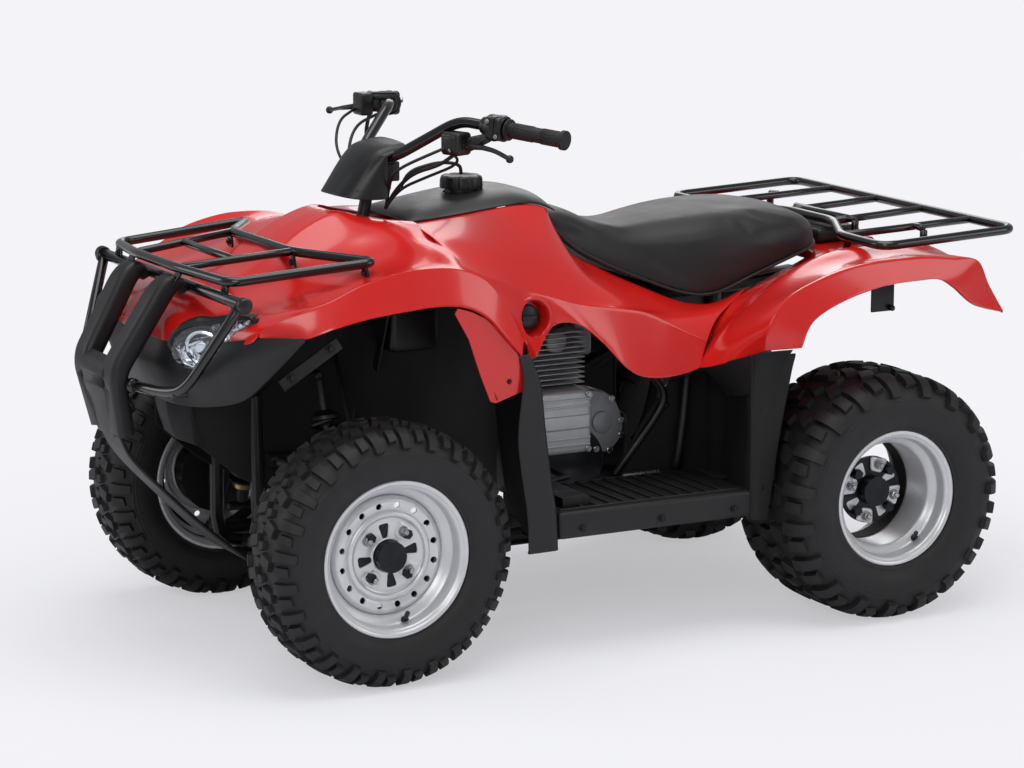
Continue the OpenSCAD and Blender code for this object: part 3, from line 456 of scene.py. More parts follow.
@dataclass(frozen=True)
class Finish:
    """A surface finish: a base colour with slow shade variation, a grain in relief, and gloss that varies.

    The grain is a noise whose features are grain_mm across and depth_mm high. The shade noise is shade_mm
    across
    and mixes the base colour with a second one.
    """
    name: str
    slot: str
    colour: str
    second: str
    roughness: float
    spread: float = 0.06
    metallic: float = 0.0
    grain_mm: float = 2.0
    depth_mm: float = 0.03
    shade_mm: float = 60.0
    shade: float = 0.35
    coat: float = 0.0
    coat_roughness: float = 0.08
    sheen: float = 0.0
    cells: bool = False
    stretch: tuple[float, float, float] = (1.0, 1.0, 1.0)
    alpha: float = 1.0
    transmission: float = 0.0
    ior: float = 1.5

    def material(self) -> bpy.types.Material:
        """The material, made once."""
        ready = bpy.data.materials.get(self.name)
        if ready:
            return ready
        result = bpy.data.materials.new(self.name)
        result.use_nodes = True
        tree = result.node_tree
        tree.nodes.clear()
        place = add_node(tree, "ShaderNodeTexCoord").outputs["Object"]
        place = add_node(tree, "ShaderNodeMapping", {"Scale": self.stretch},
            {"Vector": place}).outputs["Vector"]
        slow = add_node(tree, "ShaderNodeTexNoise", {"Scale": 1000.0 / self.shade_mm, "Detail": 4.0,
            "Roughness": 0.6},
                        {"Vector": place}).outputs["Fac"]
        band = add_node(tree, "ShaderNodeMapRange", {"From Min": 0.35, "From Max": 0.65, "To Min": 0.0,
            "To Max": self.shade},
                        {"Value": slow}).outputs["Result"]
        tint = add_node(tree, "ShaderNodeMix", {6: linear(self.colour), 7: linear(self.second)}, {0: band},
            data_type="RGBA")
        if self.cells:
            fine = add_node(tree, "ShaderNodeTexVoronoi", {"Scale": 1000.0 / self.grain_mm},
                {"Vector": place},
                            feature="SMOOTH_F1").outputs["Distance"]
        else:
            fine = add_node(tree, "ShaderNodeTexNoise", {"Scale": 1000.0 / self.grain_mm, "Detail": 3.0},
                            {"Vector": place}).outputs["Fac"]
        relief = add_node(tree, "ShaderNodeBump", {"Strength": 1.0, "Distance": self.depth_mm * MM},
            {"Height": fine})
        gloss = add_node(tree, "ShaderNodeMapRange",
                         {"From Min": 0.3, "From Max": 0.7, "To Min": max(self.roughness - self.spread, 0.02),
                          "To Max": self.roughness + self.spread}, {"Value": slow}).outputs["Result"]
        shader = add_node(tree, "ShaderNodeBsdfPrincipled",
                          {"Metallic": self.metallic, "Coat Weight": self.coat,
                          "Coat Roughness": self.coat_roughness,
                           "Sheen Weight": self.sheen, "Transmission Weight": self.transmission,
                           "Alpha": self.alpha},
                          {"Base Color": tint.outputs[2], "Roughness": gloss,
                          "Normal": relief.outputs["Normal"]})
        if self.metallic < 0.5:
            shader.inputs["IOR"].default_value = self.ior
        add_node(tree, "ShaderNodeOutputMaterial", links={"Surface": shader.outputs["BSDF"]})
        return result


# Body panels: injection-moulded polypropylene, gloss and coloured through; shows broad soft highlights
PANEL_RED = Finish("gloss_red_polypropylene", "red_plastic", "#d41f1a", "#cb1a17", 0.2, 0.02, grain_mm=9.0,
    depth_mm=0.05,
                   shade_mm=400.0, shade=0.3, coat=0.35, coat_roughness=0.06)
# The same plastic's unpolished inner face, duller; its darker red is painted shade
PANEL_RED_PAINTED_SHADE = Finish("satin_red_polypropylene_painted_shade", "red_plastic", "#7e1012", "#6c0c0e", 0.45, 0.05,
    grain_mm=5.0,
                         depth_mm=0.05, shade_mm=150.0)
# Guards and footwells: polyethylene moulded in a leather-grained tool; the 1.6 mm grain breaks the
# highlight up
GRAINED_BLACK = Finish("grained_black_polyethylene", "black_plastic", "#0f1011", "#151617", 0.5, 0.06,
    grain_mm=1.6,
                       depth_mm=0.10, shade_mm=90.0, cells=True)
# Splash guards, wheel insides, footwell walls and cowls: matt sheet whose near-black colour is painted shade,
# darker than the plastic itself
PAINTED_SHADE_BLACK = Finish("painted_shade_black_sheet", "black_plastic", "#050506", "#0a0a0b", 0.72, 0.06,
    grain_mm=3.0, depth_mm=0.08,
                     shade_mm=120.0)
# Shroud, tank cover and switch housings: finer grain, a little shinier
SMOOTH_BLACK = Finish("satin_black_nylon", "black_plastic", "#0e0f10", "#151617", 0.38, 0.05, grain_mm=1.0,
    depth_mm=0.04,
                      shade_mm=60.0, cells=True)
# Tubes: steel, powder coated gloss black, with the slight orange peel of a 3 mm wave
BLACK_TUBE = Finish("gloss_black_powder_coat", "black_steel", "#08090a", "#0e0f10", 0.22, 0.04, grain_mm=3.5,
    depth_mm=0.05,
                    shade_mm=120.0, coat=0.4, coat_roughness=0.1)
# Chassis: steel with chassis black, duller and a little dusty
CHASSIS_BLACK = Finish("satin_black_chassis_paint", "black_steel", "#0b0c0d", "#131415", 0.42, 0.08,
    grain_mm=4.0,
                       depth_mm=0.05, shade_mm=70.0)
# Wheels: pressed steel painted silver; the metal flake gives a soft sparkle over a satin sheen
WHEEL_SILVER = Finish("satin_silver_wheel_paint", "silver_wheel", "#dcdddf", "#cfd1d3", 0.34, 0.05,
    metallic=0.5, grain_mm=0.8,
                      depth_mm=0.01, shade_mm=50.0)
# Tyres: carbon-black rubber, matt with a faint bloom
TYRE_RUBBER = Finish("black_tyre_rubber", "tyre", "#141415", "#1c1c1d", 0.6, 0.08, grain_mm=2.2,
    depth_mm=0.06, shade_mm=45.0)
# Grips, boots and hoses: softer rubber
SOFT_RUBBER = Finish("moulded_black_rubber", "rubber", "#0f0f10", "#171718", 0.55, 0.08, grain_mm=1.2,
    depth_mm=0.05,
                     shade_mm=30.0)
# Seat: vinyl-coated cloth with a 2 mm leather grain
SEAT_VINYL = Finish("grained_seat_vinyl", "seat_vinyl", "#0b0b0d", "#121214", 0.5, 0.06, grain_mm=2.0,
    depth_mm=0.12,
                    shade_mm=80.0, sheen=0.12, cells=True)
# Engine cases: die-cast aluminium under silver paint, with a sandy skin
CAST_ALLOY = Finish("silver_painted_die_casting", "engine_alloy", "#c6c8ca", "#b2b5b8", 0.4, 0.06,
    metallic=0.3, grain_mm=1.4,
                    depth_mm=0.09, shade_mm=28.0)
# Cylinder fins: sand-cast iron and alloy, greyer and rougher
RAW_CASTING = Finish("bare_sand_casting", "engine_alloy", "#8f9295", "#787b7e", 0.5, 0.1, metallic=0.4,
    grain_mm=1.8,
                     depth_mm=0.14, shade_mm=20.0)
# Nuts, studs and rods: zinc-plated steel
ZINC_STEEL = Finish("zinc_plated_steel", "bare_steel", "#a9abae", "#8e9094", 0.3, 0.08, metallic=1.0,
    grain_mm=0.9,
                    depth_mm=0.02, shade_mm=16.0)
# Hubs and muffler: heat-browned steel
DARK_STEEL = Finish("dark_oxidised_steel", "bare_steel", "#333437", "#242527", 0.45, 0.1, metallic=0.9,
    grain_mm=1.8,
                    depth_mm=0.06, shade_mm=25.0)
# Reflector bowls: vacuum-metallised plastic
REFLECTOR = Finish("vacuum_metallised_reflector", "lamp_lens", "#e9ebee", "#dfe2e6", 0.08, 0.02, metallic=1.0,
    grain_mm=6.0,
                   depth_mm=0.05, shade_mm=40.0)
# Headlamp lenses: clear polycarbonate
CLEAR_LENS = Finish("clear_polycarbonate", "lamp_lens", "#f4f7fb", "#eef3f8", 0.04, 0.01, grain_mm=12.0,
    depth_mm=0.02,
                    transmission=1.0, ior=1.58, alpha=1.0)
# Tail lens: red acrylic over prisms
RED_LENS = Finish("red_acrylic_lens", "tail_lens", "#b3121a", "#8c0c12", 0.1, 0.02, grain_mm=4.0,
    depth_mm=0.25, cells=True,
                  coat=0.5)
# The choke latch and other small moulded parts
LATCH_RED = Finish("red_nylon_latch", "red_plastic", "#c4161c", "#a91218", 0.4, 0.05, grain_mm=1.0,
    depth_mm=0.03)
# Cadmium-yellow passivated brackets and damper collars
YELLOW_ZINC = Finish("yellow_passivated_steel", "bare_steel", "#b9a26a", "#97824f", 0.35, 0.08, metallic=1.0,
    grain_mm=1.0,
                     depth_mm=0.02, shade_mm=14.0)


REPORT: list[str] = []


def fit(obj: bpy.types.Object, body: Body, finish: Finish, *nodes: str) -> bpy.types.Object:
    """Dresses a piece, puts it on its body and hides the nodes it stands for."""
    obj.data.materials.clear()
    obj.data.materials.append(finish.material())
    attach(obj, body.value)
    if nodes:
        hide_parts(*nodes)
    REPORT.append(obj.name)
    LOG.info("%-30s %-18s %-30s %6d faces", obj.name, body.value, finish.name, len(obj.data.polygons))
    return obj


def piece(name: str, shape: Shape, body: Body, finish: Finish, *nodes: str,
        sharp: float = 38.0) -> bpy.types.Object:
    """Makes a piece from a shape and fits it."""
    return fit(make(name, shape, sharp), body, finish, *nodes)


def redress(node: str, finish: Finish) -> None:
    """Gives a node that stays as it is a finish."""
    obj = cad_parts[node]
    obj.data.materials.clear()
    obj.data.materials.append(finish.material())
    LOG.info("%-30s kept, %s", node, finish.name)


# ---- Wheels ----

@dataclass
class Lug:
    """One tread block: its four corners as (distance from the crown along the tyre's outline, distance
    round it)."""
    corners: tuple[tuple[float, float], ...]
    height: float
    rows: int = 4
    columns: int = 3


@dataclass
class Tyre:
    """A balloon tyre with moulded blocks.

    The carcass turns a smooth outline about the axle. Each block is a patch between its corners, read on the
    outline by arc length, lifted along the outline's normal and shut by walls that lean out towards the foot.
    """
    name: str
    body: Body
    node: str
    centre: tuple[float, float, float]
    outline: Points
    lugs: tuple[Lug, ...]
    pitches: int
    side: Side = Side.LEFT
    rings: tuple[tuple[float, float], ...] = ()

    def profile(self, count: int = 400) -> tuple[Array, Array, Array]:
        """Outline points, their arc lengths from the crown and their outward normals."""
        p = along(self.outline, np.linspace(0, 1, count))
        step = np.linalg.norm(np.diff(p, axis=0), axis=1)
        s = np.concatenate([[0.0], np.cumsum(step)])
        t = unit(np.gradient(p, axis=0))
        return p, s, np.stack([-t[:, 1], t[:, 0]], -1)

    def carcass(self) -> Shape:
        """The tyre's body, open at the beads in its outline and closed inside by its own wall."""
        dense = self.profile(240)
        lift = np.zeros(240)
        for place, high in self.rings:
            lift += high * np.exp(-((dense[0][:, 1] - place) / 1.3) ** 2)
        q = dense[0] + dense[2] * lift[:, None]
        keep = np.concatenate([np.arange(0, 100, 8), np.arange(100, 240, 2)])
        half = q[keep]
        inner = half[::-1][::6] * [0.84, 1.0] - [0.0, 12.0]
        inner[:, 1] = np.maximum(inner[:, 1], half[-1, 1] + 4)
        loop = np.concatenate([half, [half[-1] - [14, 0]], inner[1:]])
        full = np.concatenate([loop, (loop * [-1, 1])[::-1][1:-1]])
        return lathe(full, 144)

    def block(self, lug: Lug, turn: Array, flip: int) -> Shape:
        """All copies of one block round the tyre, on one side of the crown."""
        p, s, normal = self.profile()
        m, n = lug.rows + 2, lug.columns + 2
        u = np.concatenate([[0.0], np.linspace(0, 1, lug.rows), [1.0]])[:, None]
        v = np.concatenate([[0.0], np.linspace(0, 1, lug.columns), [1.0]])[None, :]
        c = np.asarray(lug.corners, float)
        flat = ((1 - u) * (1 - v))[..., None] * c[0] + (u * (1 - v))[..., None] * c[1] + (u * v)[...,
            None] * c[2] \
            + ((1 - u) * v)[..., None] * c[3]
        edge = np.zeros((m, n), bool)
        edge[0], edge[-1], edge[:, 0], edge[:, -1] = True, True, True, True
        middle = c.mean(0)
        flat = np.where(edge[..., None],
            middle + (flat - middle) * (1 + 5.0 / np.maximum(np.abs(c - middle).max(0), 6) * 0.5), flat)
        place = flat[..., 0]
        sign = np.where(place < 0, -1.0, 1.0)
        x = np.interp(np.abs(place), s, p[:, 0]) * sign
        r = np.interp(np.abs(place), s, p[:, 1])
        nx = np.interp(np.abs(place), s, normal[:, 0]) * sign
        nr = np.interp(np.abs(place), s, normal[:, 1])
        high = np.where(edge, -3.0, lug.height)
        x, r = (x + nx * high) * flip, r + nr * high
        angle = flat[..., 1] / TYRE_R
        theta = turn[:, None, None] + angle[None]
        pts = np.stack([np.broadcast_to(x, theta.shape), r * np.cos(theta), r * np.sin(theta)], -1)
        single = grid_faces(m, n)
        rim = np.concatenate([np.arange(n), np.arange(2 * n - 1, m * n, n),
            np.arange(m * n - 2, (m - 1) * n - 1, -1),
                              np.arange((m - 2) * n, 0, -n)])
        if flip > 0:
            single, rim = single[:, ::-1], rim
        else:
            rim = rim[::-1]
        faces: list[list[int]] = []
        for k in range(len(turn)):
            faces += (single + k * m * n).tolist() + [(rim + k * m * n).tolist()]
        return Shape(pts.reshape(-1, 3), faces)

    def shape(self) -> Shape:
        """Carcass and blocks, in place."""
        step = 2 * np.pi / self.pitches
        parts = [self.carcass()]
        for flip in (1, -1):
            turn = np.arange(self.pitches) * step + (0 if flip > 0 else step / 2)
            parts += [self.block(lug, turn, flip) for lug in self.lugs]
        whole = joined(parts)
        if self.side is Side.RIGHT:
            whole = whole.mirror()
        return whole.moved(self.centre)

    def build(self) -> None:
        """Makes the piece."""
        piece(self.name, self.shape(), self.body, TYRE_RUBBER, self.node, sharp=34)


FRONT_OUTLINE = ((0, 248), (28, 247.6), (50, 245), (68, 238), (80, 225), (86.5, 208), (88.5, 192),
    (86.5, 176), (80.5, 163),
                 (73.5, 155), (69, 149), (67.4, 141.5))
REAR_OUTLINE = ((0, 246), (45, 245.6), (82, 243), (106, 235), (119, 221), (125, 203), (126.5, 185),
    (124, 167), (116, 151),
                (106.5, 142), (101.5, 136), (100.4, 128.5))
FRONT_LUGS = (
    Lug(((54, -11), (96, -9), (96, 9), (52, 11)), 9.5, 6, 3),
    Lug(((60, 20), (82, 21), (84, 38), (57, 37)), 9.5, 4, 3),
    Lug(((14, 2), (44, 12), (40, 33), (8, 22)), 10.0, 3, 3),
    Lug(((-6, -17), (12, -20), (16, -6), (-2, 0)), 9.0, 3, 3),
)
REAR_LUGS = (
    Lug(((74, -14), (134, -12), (134, 12), (70, 14)), 12.0, 6, 3),
    Lug(((84, 25), (112, 26), (114, 50), (78, 48)), 12.0, 4, 3),
    Lug(((30, -2), (66, 10), (58, 38), (22, 24)), 12.0, 3, 3),
    Lug(((-10, -26), (18, -30), (24, -8), (-4, -2)), 11.0, 3, 3),
)


@dataclass
class Rim:
    """A pressed-steel rim: a turned barrel with rolled lips, a turned disc with windows, nuts, cap and valve.

    Both turned parts are one closed outline each: the sheet's centre line offset by half its wall to both
    sides.
    """
    name: str
    body: Body
    centre: tuple[float, float, float]
    side: Side
    bead: float
    half: float
    lip: float
    disc_x: float
    ring_holes: int
    drop: float
    nodes: tuple[str, ...] = ()

    @staticmethod
    def sheet(line: Points, wall: float) -> Array:
        """Closed outline of a sheet: its centre line offset by half the wall to both sides."""
        p = np.asarray(line, float)
        t = unit(np.gradient(p, axis=0))
        n = np.stack([-t[:, 1], t[:, 0]], -1) * wall / 2
        return np.concatenate([p + n, (p - n)[::-1]])

    def barrel(self) -> Shape:
        """The barrel with its bead seats, humps, drop centre and rolled lips."""
        b, h, lip = self.bead, self.half, self.lip
        line = [(h - 5.5, b + lip + 0.5), (h - 1.8, b + lip - 1.0), (h - 2.0, b + lip - 5), (h - 5, b + 4.5),
            (h - 11, b - 1.5),
                (h - 28, b - 3.0), (h - 33, b - 1.2), (h - 38, b - 3.5), (h - 48, b - self.drop * 0.85),
                (h - 56, b - self.drop)]
        left = np.asarray(line, float)
        right = (left * [-1, 1])[::-1]
        pts = along(np.concatenate([left, right]), np.linspace(0, 1, 110))
        return lathe(self.sheet(pts, 3.4), 128)

    def painted_shade_lining(self) -> Shape:
        """Painted shade: a near-black sheet inside the barrel's inner half, behind the disc."""
        b, h = self.bead, self.half
        line = [(-h + 3, b + self.lip - 6), (-h + 9, b + 0.5), (-h + 28, b - 5.6), (-h + 40, b - 6.0),
            (-h + 50, b - self.drop - 1.2),
                (self.disc_x - 24, b - self.drop - 3.4)]
        return lathe(self.sheet(along(line, np.linspace(0, 1, 60)), 1.0), 96)

    def disc(self) -> bpy.types.Object:
        """The wheel disc, turned and then pierced."""
        x, outer = self.disc_x, self.bead - self.drop - 2.2
        line = [(x - 20, outer), (x - 8, outer - 0.6), (x + 2, outer - 4), (x + 6.5, outer - 11),
            (x + 5.0, outer - 20),
                (x + 3.5, outer - 27), (x + 9.5, outer - 32), (x + 10.5, outer - 37), (x + 5, outer - 42),
                (x + 3, 66),
                (x + 3, 50), (x + 3, 36), (x + 5.5, 31.5)]
        pts = along(line, np.linspace(0, 1, 90))
        obj = make(self.name + "_disc", lathe(self.sheet(pts, 3.6), 144).moved((0, 0, 0)))
        knives = []
        for k in range(self.ring_holes):
            a = 360.0 * (k + 0.5) / self.ring_holes
            hole = rod((x - 30, outer - 17.5, 0), (x + 30, outer - 17.5, 0), 6.3, 20)
            knives.append(hole.moved(matrix=turn_x(a)))
        for k in range(4):
            w = np.array([(34.5, -5.5), (60.5, -11.0), (63.5, -7.5), (63.5, 7.5), (60.5, 11.0), (34.5, 5.5)])
            corner = looped(np.concatenate([w, np.zeros((6, 1))], 1), 4.5, 4)[:, :2]
            grid = np.stack([np.concatenate([np.full((len(corner), 1), q), corner], 1) for q in (x - 30,
                x + 30)])
            knives.append(closed_grid(grid).moved(matrix=turn_x(90.0 * k + self.clock)))
        cut(obj, joined(knives))
        rounded_edges(obj, 0.9, 40)
        return obj

    clock: float = 8.0

    def hardware(self) -> Shape:
        """Four tapered nuts on studs, with the raised pads that they pull down."""
        parts = []
        for k in range(4):
            a = math.radians(90.0 * k + 45 + self.clock)
            at = np.array([self.disc_x + 4.6, 55 * math.cos(a), 55 * math.sin(a)])
            six = circle(9.2, 6)
            nut = closed_grid(np.stack([np.concatenate([np.full((6, 1), z), six * f], 1)
                                        for z, f in ((1.5, 0.96), (3.0, 1.0), (11.0, 1.0), (12.4, 0.85))]))
            cone = lathe([(-0.5, 0.01), (-0.5, 13.0), (2.4, 10.5), (2.6, 0.01)], 28)
            stud = lathe([(9, 0.01), (9, 5.0), (17.0, 5.0), (18.2, 3.9), (18.2, 0.01)], 20)
            parts += [s.moved(at) for s in (nut, cone, stud)]
        return joined(parts)

    def pads(self) -> Shape:
        """Raised pads round the nuts, pressed in the disc."""
        parts = []
        for k in range(4):
            a = 90.0 * k + 45 + self.clock
            w = np.array([(39.0, -13.0), (68.0, -21.0), (68.0, 21.0), (39.0, 13.0)])
            line = looped(np.concatenate([w, np.zeros((4, 1))], 1), 7, 5)[:, :2]
            mid = line.mean(0)
            rows = [(0.0, 1.06), (2.4, 1.0), (3.0, 0.95), (3.0, 0.4)]
            grid = np.stack([np.concatenate([np.full((len(line), 1), self.disc_x + 3.4 + h),
                mid + (line - mid) * f], 1)
                             for h, f in rows])
            parts.append(closed_grid(grid).moved(matrix=turn_x(a)))
        return joined(parts)

    def cap(self) -> Shape:
        """The hub cap: a shallow cup with a soft rim."""
        x = self.disc_x
        return lathe([(x - 6, 0.01), (x - 6, 30.0), (x + 21, 29.2), (x + 24.5, 26.5), (x + 25, 22.5),
            (x + 22.5, 20),
                      (x + 22.5, 0.01)], 64)

    def valve(self) -> Shape:
        """Tyre valve: rubber stem and cap, leaning out of the barrel's shoulder."""
        a = self.half - 30
        stem = lathe([(0, 0.01), (0, 7.5), (3, 7.5), (6, 4.5), (20, 3.8), (20.5, 4.6), (31, 4.6), (32, 3.5),
            (32, 0.01)], 20, "z")
        return stem.moved(matrix=facing((0.75, 0, -0.66))).moved((a - 6, 0,
            self.bead - 6)).moved(matrix=turn_x(186 + self.clock))

    def put(self, shape: Shape) -> Shape:
        """A shape moved from the wheel's own frame to its place."""
        return (shape.mirror() if self.side is Side.RIGHT else shape).moved(self.centre)

    def build(self) -> None:
        """Makes the rim's pieces."""
        piece(self.name + "_barrel", self.put(self.barrel()), self.body, WHEEL_SILVER, *self.nodes, sharp=50)
        disc = self.disc()
        shape = Shape(np.empty((len(disc.data.vertices), 3)), [list(p.vertices) for p in disc.data.polygons])
        flat = np.empty(len(disc.data.vertices) * 3)
        disc.data.vertices.foreach_get("co", flat)
        shape.points = flat.reshape(-1, 3) / MM
        bpy.data.objects.remove(disc)
        piece(self.name + "_disc", self.put(shape), self.body, WHEEL_SILVER, sharp=50)
        piece(self.name + "_pads", self.put(self.pads()), self.body, WHEEL_SILVER)
        piece(self.name + "_nuts", self.put(self.hardware()), self.body, ZINC_STEEL)
        # Near-black sheet inside the barrel: painted shade.
        piece(self.name + "_lining", self.put(self.painted_shade_lining()), self.body, PAINTED_SHADE_BLACK)
        piece(self.name + "_cap", self.put(self.cap()), self.body, SMOOTH_BLACK)
        piece(self.name + "_valve", self.put(self.valve()), self.body, SOFT_RUBBER)


@dataclass
class Wheels:
    """The four wheels."""

    def build(self) -> None:
        """Makes tyres and rims."""
        for side, word, body in ((Side.LEFT, "left", Body.FRONT_LEFT),
            (Side.RIGHT, "right", Body.FRONT_RIGHT)):
            centre = (side.value * FRONT_X, FRONT_Y, TYRE_R)
            Tyre(f"front_{word}_tread", body, f"front_{word}_tyre", centre, FRONT_OUTLINE, FRONT_LUGS, 25,
                side,
                 ((157, 2.2), (212, 1.0), (206, 0.8))).build()
            Rim(f"front_{word}_wheel", body, centre, side, 140, 75, 13, 28, 16, 21,
                (f"front_{word}_rim",)).build()
            redress(f"front_{word}_hub", DARK_STEEL)
            rear = (side.value * REAR_X, REAR_Y, TYRE_R)
            Tyre(f"rear_{word}_tread", Body.REAR, f"rear_{word}_tyre", rear, REAR_OUTLINE, REAR_LUGS, 19,
                side,
                 ((144, 2.4), (206, 1.0), (198, 0.8))).build()
            nodes = ("rear_rims",) if side is Side.LEFT else ()
            Rim(f"rear_{word}_wheel", Body.REAR, rear, side, 127, 108, 13, 12, 0, 18, nodes,
                clock=30.0).build()
        redress("rear_hubs", DARK_STEEL)
        redress("rear_axle", DARK_STEEL)


# ---- Racks, bumper and lamps ----

RACK_R, BAR_R = 9.5, 11.0
POST_TOP, POST_KINK, POST_FOOT = (fa([p])[0] for p in ((97, -295, 763), (74, -408, 590), (52, -382, 465)))


@dataclass
class Racks:
    """Front and rear racks of bent steel tube."""
    cross_r: float = 8.0

    def front(self) -> None:
        """The front rack: one loop with chamfered corners, two bars inside it, a cross bar and strap legs."""
        half = fa([(101, -284, 789), (282, -250, 782), (306, 47, 803), (145, -58, 809)])
        loop = looped(np.concatenate([half, mirrored(half)[::-1]]), 30, 8)
        parts = [tube(loop, RACK_R, (0, 0, 1), True)]
        parts += [rod(*fa([(108 * k, -276, 790), (145 * k, -58, 809)]), self.cross_r) for k in (1, -1)]
        parts += [rod(*fa([(-124, -172, 799), (124, -172, 799)]), self.cross_r)]
        piece("front_rack_tubes", joined(parts), Body.CHASSIS, BLACK_TUBE, "front_rack")
        legs = []
        for k in (1, -1):
            for a, b, w in (((268, -252, 776), (262, -256, 752), 26), ((302, 22, 796), (304, 26, 772), 24),
                            ((150, -60, 800), (152, -58, 778), 22), ((118, -284, 782), (110, -300, 756), 24)):
                line = fa([(a[0] * k, a[1], a[2]), (b[0] * k, b[1], b[2])])
                legs.append(closed_grid(swept(np.linspace(line[0], line[1], 5), rounded_box(w, 5, 1.2),
                    (1, 0, 0))))
                legs.append(bolt(line.mean(0) + [0, -3, 0], (0, -1, 0.2), 5))
        piece("front_rack_straps", joined(legs), Body.CHASSIS, BLACK_TUBE)

    def rear(self) -> None:
        """The rear rack: a loop whose front rail steps back in the middle, four bars to its rear rail and
        its stays."""
        back = REAR_Y + 346 - RACK_R - 1
        half = np.array([(88, REAR_Y + 106, 770), (265, REAR_Y + 8, 770), (420, REAR_Y + 8, 768),
            (420, back, 781)])
        loop = looped(np.concatenate([half, mirrored(half)[::-1]]), 36, 8)
        parts = [tube(loop, RACK_R, (0, 0, 1), True)]
        parts += [rod((x, REAR_Y + y, 770), (x, back, 781), self.cross_r) for x, y in
                  ((88, 106), (-88, 106), (265, 8), (-265, 8))]
        parts += [rod((-118, REAR_Y + 140, 774), (118, REAR_Y + 140, 774), 7.5)]
        for k in (1, -1):
            parts += [rod((265 * k, REAR_Y + 30, 766), (250 * k, REAR_Y + 30, 738), 8),
                      rod((300 * k, REAR_Y + 190, 774), (300 * k, REAR_Y + 190, 741), 8),
                      rod((118 * k, REAR_Y + 140, 774), (112 * k, REAR_Y + 140, 718), 8),
                      rod((300 * k, REAR_Y + 190, 776), (265 * k, REAR_Y + 190, 778), 7.5)]
        piece("rear_rack_tubes", joined(parts), Body.CHASSIS, BLACK_TUBE, "rear_rack")


@dataclass
class Bumper:
    """Front bumper: two moulded posts with hooked tops that meet in a plate with two slots, and tubes
    between them."""

    def posts(self) -> None:
        """The posts and plate with their slots; the skid tongue below them is made in tongue."""
        route = rounded([POST_TOP + [0, 26, -22], POST_TOP + [0, 14, -2], POST_TOP + [-3, -14, -10],
            POST_KINK, POST_FOOT], 30, 8)
        t = np.linspace(0, 1, len(route))
        wide = along([(0.5, 0.5), (0.66, 0.75), (0.78, 0.95), (0.9, 1.05), (1.0, 1.1), (1.05, 1.0),
            (0.95, 0.95)], t)
        post = closed_grid(swept(route, rounded_box(60, 38, 13, 5), scale=wide))
        plate = [fa([(0, y, z)])[0] for y, z in ((-398, 612), (-412, 590), (-410, 560), (-398, 520),
            (-388, 470), (-386, 455))]
        middle = closed_grid(swept(along(plate, np.linspace(0, 1, 20)), rounded_box(118, 24, 9, 5),
                                   scale=along([(0.9, 0.7), (1.05, 1), (1.02, 1), (0.92, 1), (0.82, 1),
                                   (0.8, 0.8)], np.linspace(0, 1, 20))))
        holes = joined([rod((54 * k, FRONT_Y - 480, 566), (54 * k, FRONT_Y - 405, 566), 9, 28) for k in (1,
            -1)])
        obj = make("front_bumper_posts", joined([post, post.mirror()]))
        cut(obj, holes)
        fit(obj, Body.CHASSIS, GRAINED_BLACK, "front_bumper")
        plate_obj = make("front_bumper_plate", middle)
        slot = closed_grid(np.stack([np.concatenate([np.zeros((32, 1)), circle(1.0, 32)], 1) * [1, 9,
            13] + [x, 0, 0]
                                     for x in (-60, 60)])).moved(matrix=turn_z(90))
        cut(plate_obj, joined([slot.moved((54 * k, FRONT_Y - 400, 566)) for k in (1, -1)]))
        fit(plate_obj, Body.CHASSIS, GRAINED_BLACK)

    def tongue(self) -> None:
        """The skid plate: a long grey tongue that runs down and back under the engine."""
        z = 178 - 14 * math.cos(math.radians(18)) - 4.3
        route = rounded(fa([(0, -384, 466), (0, -362, 410), (0, -204, 250), (0, -96, z), (0, 622, z)]), 80,
            10)
        t = np.linspace(0, 1, len(route))
        wide = np.stack([along([(0.92,), (0.85,), (1.0,), (1.4,), (1.8,), (2.1,)], t)[:, 0], np.ones(len(t))],
            -1)
        section = rounded_box(104, 8, 3.6, 4)
        section[:, 1] += 4.0 * (np.abs(section[:, 0]) / 52) ** 2
        piece("skid_tongue", closed_grid(swept(route, section, scale=wide)), Body.CHASSIS, GRAINED_BLACK,
            "skid_plate")

    def tubes(self) -> None:
        """The cross tube with its end caps and the two looped side tubes."""
        parts = [rod(*fa([(-355, -254, 750), (355, -254, 750)]), 11.5, 24)]
        caps = []
        for k in (1, -1):
            side = rounded(fa([(70 * k, -385, 566), (200 * k, -356, 566), (258 * k, -336, 578),
                (341 * k, -256, 748)]), 44, 10)
            parts.append(tube(side, 10.5, (0, 0, 1)))
            cap = lathe([(0, 0.01), (0, 14), (3, 15.5), (14, 15.5), (19, 12.5), (20.5, 8), (21, 0.01)], 32)
            cap = cap if k > 0 else cap.mirror()
            caps.append(cap.moved(fa([(346 * k, -254, 750)])[0]))
            caps.append(bolt(fa([(341 * k, -268, 745)])[0], (0, -1, 0), 6))
            flag = block((30, 34, 9), 3, (226 * k, FRONT_Y - 338, 566), 2)
            parts.append(flag)
            collar = rod(*fa([(92 * k, -382, 566), (112 * k, -378, 566)]), 14.5)
            parts.append(collar)
        piece("front_bumper_tubes", joined(parts), Body.CHASSIS, BLACK_TUBE, "bumper_tubes")
        piece("front_bumper_caps", joined(caps), Body.CHASSIS, SMOOTH_BLACK)

    def build(self) -> None:
        """Makes the bumper."""
        self.posts()
        self.tongue()
        self.tubes()


# ---- Body panels ----

